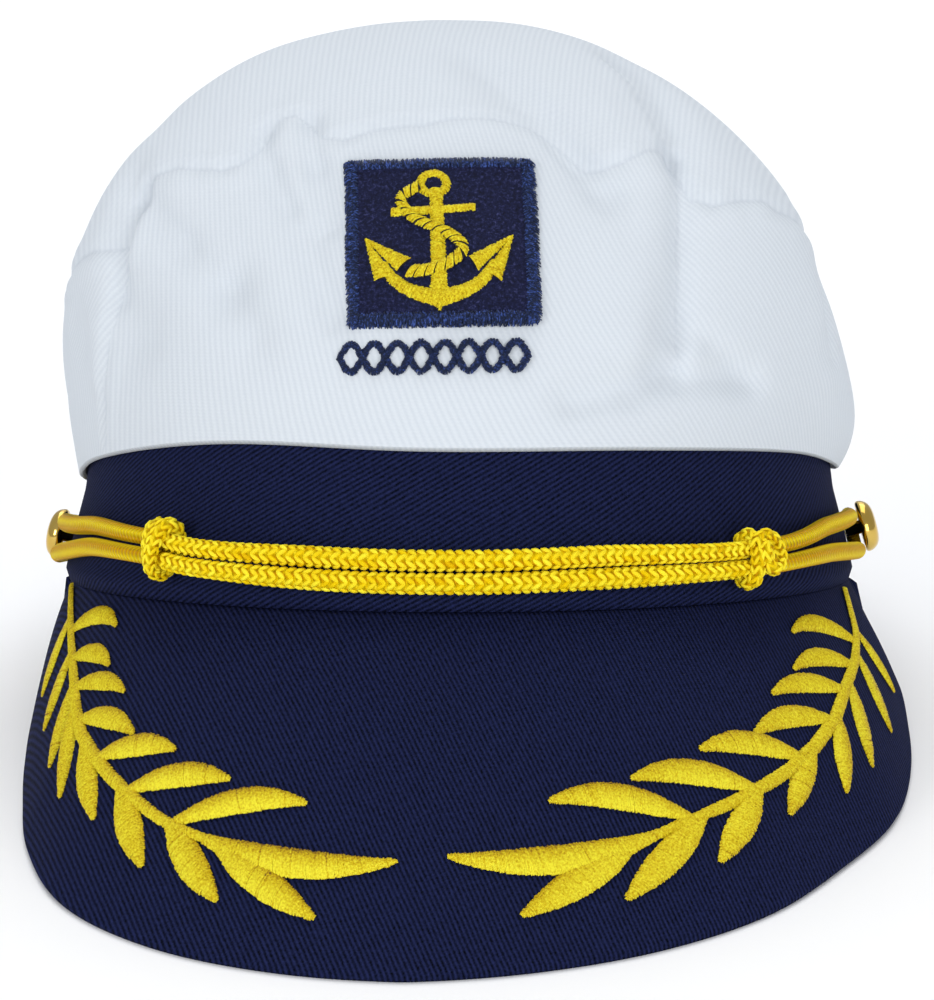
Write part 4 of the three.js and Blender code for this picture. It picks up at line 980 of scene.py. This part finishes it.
def stitch_stroke(piece, place_at, line, widths, lift, height, pitch=STROKE_PITCH, slant=0.15,
                  keep=None, shade=0.62):
    """Threads across a flat stroke; keep picks them by distance along it, and shade is their tint."""
    travelled, at = thread_places(line, pitch, 0.05)
    if keep is not None:
        at = at[keep(at)]
    count = len(at)
    along = unit(sample(at, travelled, np.gradient(line, axis=0)))
    half = np.interp(at / travelled[-1], np.linspace(0, 1, len(widths)), widths) / 2
    side = np.stack([-along[:, 1], along[:, 0]], -1)
    flat = thread_ends(sample(at, travelled, line), side, along, half, slant, STROKE_RAGGED)
    starts, ends = (np.concatenate([end, np.full((count, 1), lift)], 1) for end in flat)
    tall = height * np.minimum(half, 1) ** 0.5 + rng.uniform(-0.03, 0.03, count)
    tint = np.clip(rng.normal(shade, 0.12, (count, 5, 1)), min(shade, 0), 1)
    threads = strands(starts, ends, FLAT_UP, tall, pitch * 1.35, 5)
    piece.add(on_front(place_at, threads), tint=tint)


def make_anchor():
    """Fouled anchor: each stroke has a dark edge under it, and the rope's stripes lie over all of them."""
    half = BADGE_WIDTH / 2
    ground = GAP + PATCH_THICKNESS
    piece = Piece()
    for path, widths in ANCHOR:
        line = curve_through(path, 60) * half
        width = np.array(widths) * half
        stitch_stroke(piece, BADGE_PLACE, line, width, ground, 0.8)
        stitch_stroke(piece, BADGE_PLACE, line, width + 0.5, ground - 0.1, 0.25, shade=-1)
    turn = np.linspace(0, 2 * math.pi, 60)
    ring = np.array(RING["centre"]) + RING["radius"] * np.stack([np.cos(turn), np.sin(turn)], -1)
    stitch_stroke(piece, BADGE_PLACE, ring * half, np.full(2, RING["width"] * half), ground, 0.7)
    rope = curve_through(ROPE[0], 120) * half
    width = np.array(ROPE[1]) * half
    stitch_stroke(piece, BADGE_PLACE, rope, width, ground + 0.55, 0.8, 0.2, 0.8,
                  lambda at: (at % ROPE_STRIPE) < ROPE_STRIPE_FILL * ROPE_STRIPE)
    stitch_stroke(piece, BADGE_PLACE, rope, width * 0.95, ground + 0.5, 0.55, shade=-1)
    return piece.finish("badge_anchor", "gold_thread", GOLD)


def make_wave_braid():
    """Two stitched waves that cross each other."""
    swing = (BRAID_HEIGHT - BRAID_THREAD) / 2
    x = np.linspace(-0.5, 0.5, 200) * (BRAID_WIDTH - BRAID_THREAD)
    width = np.full(2, BRAID_THREAD)
    piece = Piece()
    for way in (1, -1):
        y = way * swing * np.sin(np.linspace(0, 2 * math.pi * BRAID_WAVES, 200))
        line = np.stack([x, y], -1)
        stitch_stroke(piece, BRAID_PLACE, line, width, GAP, 0.55 + 0.15 * way, 0.38, shade=0.36)
    return piece.finish("wave_braid", "navy_thread", BORDER)


def cord_point(azimuth, along, rise, off):
    height = smooth(CORD_HEIGHTS, "height", azimuth) * BAND_HEIGHT + rise
    reached = azimuth + np.degrees(along / BAND_HALF_LENGTH)
    rim = rim_height(reached)
    return band_point(reached, (height - rim) / (BAND_HEIGHT - rim), off)


def knot_nearness(azimuth):
    away = np.minimum(np.abs(azimuth - KNOT_LEFT), np.abs(azimuth - KNOT_RIGHT))
    return smoothstep(np.maximum(0, 1 - away / KNOT_REACH), 0, KNOT_RAMP)


def cord_standoff(azimuth, radius):
    return radius + GAP + (KNOT_THICKNESS + KNOT_BORE + KNOT_CLEARANCE) * knot_nearness(azimuth)


def cord_route():
    """Middle line of the chin cord's closed loop and its radius: top strand, loop, bottom strand, loop."""
    places, radii = [], []
    run = np.linspace(-BUTTON_AZIMUTH, BUTTON_AZIMUTH, 241)
    turn = np.pi * (0.5 - np.linspace(0, 1, 26)[1:-1])
    for way in (1, -1):
        azimuth = way * run
        from_button = BUTTON_AZIMUTH - np.abs(azimuth)
        squeeze = mix(1, KNOT_SQUEEZE, knot_nearness(azimuth))
        spread = squeeze * mix(LOOP_RADIUS, CORD_SPACING / 2, smoothstep(from_button, 0, SPREAD_DEGREES))
        radius = squeeze * CORD_RADIUS * mix(LOOP_CORD_SHARE, 1, smoothstep(from_button, 0, LOOP_BLEND))
        places.append(cord_point(azimuth, 0, way * spread, cord_standoff(azimuth, radius)))
        radii.append(radius)
        radius = np.full(len(turn), CORD_RADIUS * LOOP_CORD_SHARE)
        at_button = np.full(len(turn), way * BUTTON_AZIMUTH)
        along, rise = way * LOOP_RADIUS * np.cos(turn), way * LOOP_RADIUS * np.sin(turn)
        places.append(cord_point(at_button, along, rise, cord_standoff(at_button, radius)))
        radii.append(radius)
    return np.concatenate(places), np.concatenate(radii)


def evenly(line, radii, closed):
    """Points and radii at even steps along a cord, how far along it they are and its whole length."""
    rows = np.column_stack([line, np.broadcast_to(radii, len(line))])
    rows = np.concatenate([rows, rows[:1]]) if closed else rows
    travelled = travel(rows[:, :3])
    count = int(round(travelled[-1] / KNIT_STEP))
    at = np.linspace(0, travelled[-1], count, endpoint=not closed)
    rows = sample(at, travelled, rows)
    return rows[:, :3], rows[:, 3], at, travelled[-1]


def spun(first, second, turn):
    """Directions at angles of turn, from the first towards the second."""
    return first * np.cos(turn)[..., None] + second * np.sin(turn)[..., None]


def everywhere(points):
    return np.ones(len(points), bool)


def knitted(piece, line, radii, facing, closed, knit=everywhere, pitch=KNOT_PITCH):
    """Knitted cord: a round core with rows of V stitches laid on it where knit says so."""
    core_share, core_shade_tint, smooth_tint = 0.9, 0.22, 0.24
    overlap, lean, onwards = 1.25, 1.35, 0.1
    line, radii, at, length = evenly(line, radii, closed)
    if closed:
        along = unit(np.roll(line, -1, 0) - np.roll(line, 1, 0))
    else:
        along = unit(np.gradient(line, axis=0))
    side = unit(np.cross(along, facing(line)))
    face = unit(np.cross(side, along))
    stitched = knit(line)
    turn = np.linspace(0, 2 * math.pi, CORD_SIDES, endpoint=False)
    core = radii * np.where(stitched, core_share, 1.0)
    tube = line[:, None] + spun(side[:, None], face[:, None], turn) * core[:, None, None]
    rows = np.concatenate([at, [length]]) if closed else at
    uv = np.stack(np.broadcast_arrays(rows[:, None], np.linspace(0, 1, CORD_SIDES + 1)), -1)
    # Painted shade: under the stitches the core, seen only in the valleys between them, takes a darker tint
    # than the stitches
    piece.add(tube, uv, np.where(stitched, core_shade_tint, smooth_tint)[:, None], ring=True, loop=closed)
    count = int(length / pitch)
    t = np.linspace(-0.5, 0.5, len(STITCH_OUT))
    rows = np.linspace(0, length, count, endpoint=False)
    slide = rows[:, None] + t * pitch * overlap + onwards * pitch
    pick = np.clip(np.searchsorted(at, slide), 0, len(at) - 1)
    base = line[pick] + along[pick] * (slide - at[pick])[..., None]
    reach = radii[pick] * STITCH_OUT
    swell = STITCH_SWELL * radii[pick] / CORD_RADIUS
    bead = np.linspace(0, 2 * math.pi, BEAD_SIDES, endpoint=False)
    for column in range(KNIT_COLUMNS):
        for way in (1, -1):
            middle = 2 * math.pi * column / KNIT_COLUMNS + way * math.pi / KNIT_COLUMNS / 2
            off = spun(side[pick], face[pick], middle + way * t * lean * math.pi / KNIT_COLUMNS)
            centre = base + off * reach[..., None]
            across = unit(np.cross(unit(np.gradient(centre, axis=1)), off))
            beads = spun(across[:, :, None], off[:, :, None], bead) * swell[:, :, None, None]
            wanted = knit(centre[:, 2])
            shade = np.clip(rng.normal(0.62, 0.16, count), 0, 1)
            piece.add((centre[:, :, None] + beads)[wanted], None, shade[wanted][:, None, None], ring=True)


def outwards(points):
    return unit(np.stack([points[..., 0] / BAND_HALF_WIDTH**2, points[..., 1] / BAND_HALF_LENGTH**2,
                          np.zeros(points.shape[:-1])], -1))


def azimuth_of(points):
    return np.degrees(np.arctan2(points[..., 0] / BAND_HALF_WIDTH, -points[..., 1] / BAND_HALF_LENGTH))


def between_knots(points):
    return (azimuth_of(points) > KNOT_LEFT) & (azimuth_of(points) < KNOT_RIGHT)


def make_chin_cord():
    """One closed loop of two strands, knitted between the knots and smooth beyond them."""
    piece = Piece()
    knitted(piece, *cord_route(), outwards, True, between_knots, KNIT_PITCH)
    return piece.finish("chin_cord", "gold_cord", CORD)


def face_axes(azimuth, off):
    """Directions along the cord's route, up and out of the band at an azimuth."""
    before, after = (cord_point(azimuth + step, 0, 0, off(azimuth + step)) for step in (-1, 1))
    along = unit(after - before)
    rise = unit(cord_point(azimuth, 0, 1, 0) - cord_point(azimuth, 0, -1, 0))
    return along, rise, unit(np.cross(along, rise))


def knot_frame(azimuth):
    """A knot's middle and its directions along, up and out."""
    radius = CORD_RADIUS * KNOT_SQUEEZE
    axes = face_axes(azimuth, lambda place_at: cord_standoff(place_at, radius))
    return cord_point(azimuth, 0, 0, cord_standoff(azimuth, radius)), axes


def knot_turn(centre, axes, slide, thick):
    """One turn of cord round both strands, sliding along them as it goes round."""
    along, rise, out = axes
    radius = CORD_RADIUS * KNOT_SQUEEZE + 0.15 + thick
    high = (CORD_SPACING / 2 * KNOT_SQUEEZE + radius) * np.cos(KNOT_TURN)
    deep = radius * np.sign(np.sin(KNOT_TURN)) * np.abs(np.sin(KNOT_TURN)) ** 0.75
    return centre + along * slide[:, None] + rise * high[:, None] + out * deep[:, None]


def make_knot_left():
    """Two turns side by side at the top that draw into one small lobe below."""
    centre, axes = knot_frame(KNOT_LEFT)
    piece = Piece()
    apart, middle, swing, shift, swell, thick, step = 1.6, 0.52, 0.48, 0.7, 0.2, 1.0, 0.25
    radii = KNOT_CORD_RADIUS + swell * np.cos(KNOT_TURN)
    for way in (1, -1):
        slide = way * apart * (middle + swing * np.cos(KNOT_TURN)) - shift
        line = knot_turn(centre, axes, slide, thick + step * way)
        knitted(piece, line, radii, lambda points: unit(points - centre), True)
    return piece.finish("cord_knot_left", "gold_cord", CORD)


def make_knot_right():
    """Round knot: a turn round both strands at its left and a coil that winds in over them to a heart."""
    centre, axes = knot_frame(KNOT_RIGHT)
    along, rise, out = axes
    piece = Piece()
    turn_at, turn_swing, turn_thick = -2.5, 0.9, 0.9
    line = knot_turn(centre, axes, turn_at + turn_swing * np.cos(KNOT_TURN), turn_thick)
    knitted(piece, line, KNOT_CORD_RADIUS, lambda points: unit(points - centre), True)
    steps, middle, tallness, coil_radius = 90, 0.5, 1.1, 1.5
    turn = np.linspace(math.radians(-150), math.radians(270), steps)
    spread = np.linspace(3.7, 1.5, steps)
    sideways = spread * np.cos(-turn) + middle
    upwards = spread * tallness * np.sin(-turn)
    lift = CORD_RADIUS * KNOT_SQUEEZE + KNOT_BORE + np.linspace(0.6, 1.5, steps)
    coil = centre + along * sideways[:, None] + rise * upwards[:, None] + out * lift[:, None]
    heart_steps, reach, climb, heart_lift = 12, 0.9, 1.6, 0.6
    t = np.linspace(-1, 1, heart_steps)[:, None]
    high = CORD_RADIUS + KNOT_BORE + heart_lift
    heart = centre + along * (middle + reach * t) - rise * climb * t + out * high
    for winding in (coil, heart):
        knitted(piece, winding, coil_radius, lambda points: np.broadcast_to(out, points.shape), False)
    return piece.finish("cord_knot_right", "gold_cord", CORD)


def make_button(name, way):
    """Domed button with a rolled rim, turned about its shank."""
    sides, closing = 64, 0.02
    base = GAP + 2 * CORD_RADIUS * LOOP_CORD_SHARE + GAP
    rim = np.linspace(-math.pi / 2, 0, 6)
    dome = np.linspace(0, math.pi / 2, 22)[1:]
    tall = BUTTON_RIM + BUTTON_DOME - BUTTON_EDGE
    rim_out = BUTTON_RADIUS - BUTTON_EDGE + BUTTON_EDGE * np.cos(rim)
    dome_out = BUTTON_RADIUS * np.cos(dome) ** 0.5 + closing / 2
    radius = np.concatenate([[closing, SHANK_RADIUS, SHANK_RADIUS], rim_out, dome_out])
    rim_high = base + BUTTON_EDGE * (1 + np.sin(rim))
    dome_high = base + BUTTON_EDGE + tall * np.sin(dome) ** 1.15
    height = np.concatenate([[GAP, GAP, base], rim_high, dome_high])
    azimuth = way * BUTTON_AZIMUTH
    along, rise, out = face_axes(azimuth, lambda _: 0)
    disc = spun(along, rise, np.linspace(0, 2 * math.pi, sides, endpoint=False))
    centre = cord_point(azimuth, 0, 0, 0)
    piece = Piece()
    piece.add(centre + disc * radius[:, None, None] + (out * height[:, None])[:, None], ring=True)
    return piece.finish(name, "gold_metal", METAL)


def make_floor():
    far = 20.0
    paint = Paint("floor", 0.9)
    stops = [(0.3, colour(250, 250, 251)), (0.7, colour(254, 254, 255))]
    material = paint.finish(paint.ramp(paint.noise(3.0), stops))
    mesh = bpy.data.meshes.new("floor")
    mesh.from_pydata([(-far, -far, 0), (far, -far, 0), (far, far, 0), (-far, far, 0)], [], [(0, 1, 2, 3)])
    mesh.materials.append(material)
    put("floor", mesh)


def make_light(name, location, target, size, power):
    light = bpy.data.lights.new(name, "AREA")
    light.size = size
    light.energy = power
    lamp = put(name, light)
    lamp.location = location
    lamp.rotation_euler = (Vector(target) - Vector(location)).to_track_quat("-Z", "Y").to_euler()


def make_lights():
    """Soft studio light: key on the picture's left, a fill, a broad one overhead and one for the backdrop."""
    make_light("key", (-0.75, -0.95, 0.45), (0, 0, 0.06), 0.4, 4.4)
    make_light("fill", (0.6, -1.0, 0.25), (0, 0, 0.06), 0.6, 5.0)
    make_light("overhead", (0.0, 0.95, 2.2), (0, 0.35, 0), 2.4, 32)
    make_light("backdrop", (0.0, 2.6, 1.6), (0, 2.4, 0), 2.4, 15)
    world = bpy.data.worlds.new("studio")
    world.use_nodes = True
    sky = world.node_tree.nodes["Background"]
    sky.inputs["Color"].default_value = (0.95, 0.97, 1.0, 1)
    sky.inputs["Strength"].default_value = 0.5
    bpy.context.scene.world = world


# Camera in the hat's frame, in millimetres and degrees: distance, rise and turn round the band's rim centre
CAMERA = {"distance": 560.0, "rise": 5.0, "turn": 4.0, "pan": 0.1527, "tilt": 1.7209}
FOCAL_PIXELS = 2452.043
PICTURE_HEIGHT = 1000


def swung(first, second, angle):
    """Two square directions, both turned by an angle, the first towards the second."""
    turned = first * math.cos(angle) + second * math.sin(angle)
    return turned, second * math.cos(angle) - first * math.sin(angle)


def make_camera():
    """Camera fitted to the photograph, moved from the hat's frame to the row frame."""
    rise, turn, pan, tilt = (math.radians(CAMERA[key]) for key in ("rise", "turn", "pan", "tilt"))
    level = math.cos(rise)
    eye = CAMERA["distance"] * Vector((math.sin(turn) * level, -math.cos(turn) * level, math.sin(rise)))
    ahead = -eye.normalized()
    right = ahead.cross(Vector((0, 0, 1))).normalized()
    up = right.cross(ahead)
    ahead, right = swung(ahead, right, pan)
    ahead, up = swung(ahead, up, tilt)
    rest = Matrix.Rotation(-REST_TILT, 3, "X")
    turned = Matrix([rest @ right, rest @ up, rest @ -ahead]).transposed().to_4x4()
    data = bpy.data.cameras.new("camera")
    data.sensor_width = 36
    data.lens = FOCAL_PIXELS * data.sensor_width / PICTURE_HEIGHT
    camera = put("camera", data)
    location = (rested(np.array(eye)) + CENTRE) / 1000
    camera.matrix_world = Matrix.Translation(Vector(location)) @ turned
    bpy.context.scene.camera = camera


make_crown()
make_band()
make_peak()
make_laurel("laurel_left")
make_laurel("laurel_right")
make_patch()
make_border()
make_anchor()
make_wave_braid()
make_chin_cord()
make_knot_left()
make_knot_right()
make_button("button_left", -1)
make_button("button_right", 1)
make_floor()
make_lights()
make_camera()
bpy.context.scene.view_settings.view_transform = "Standard"
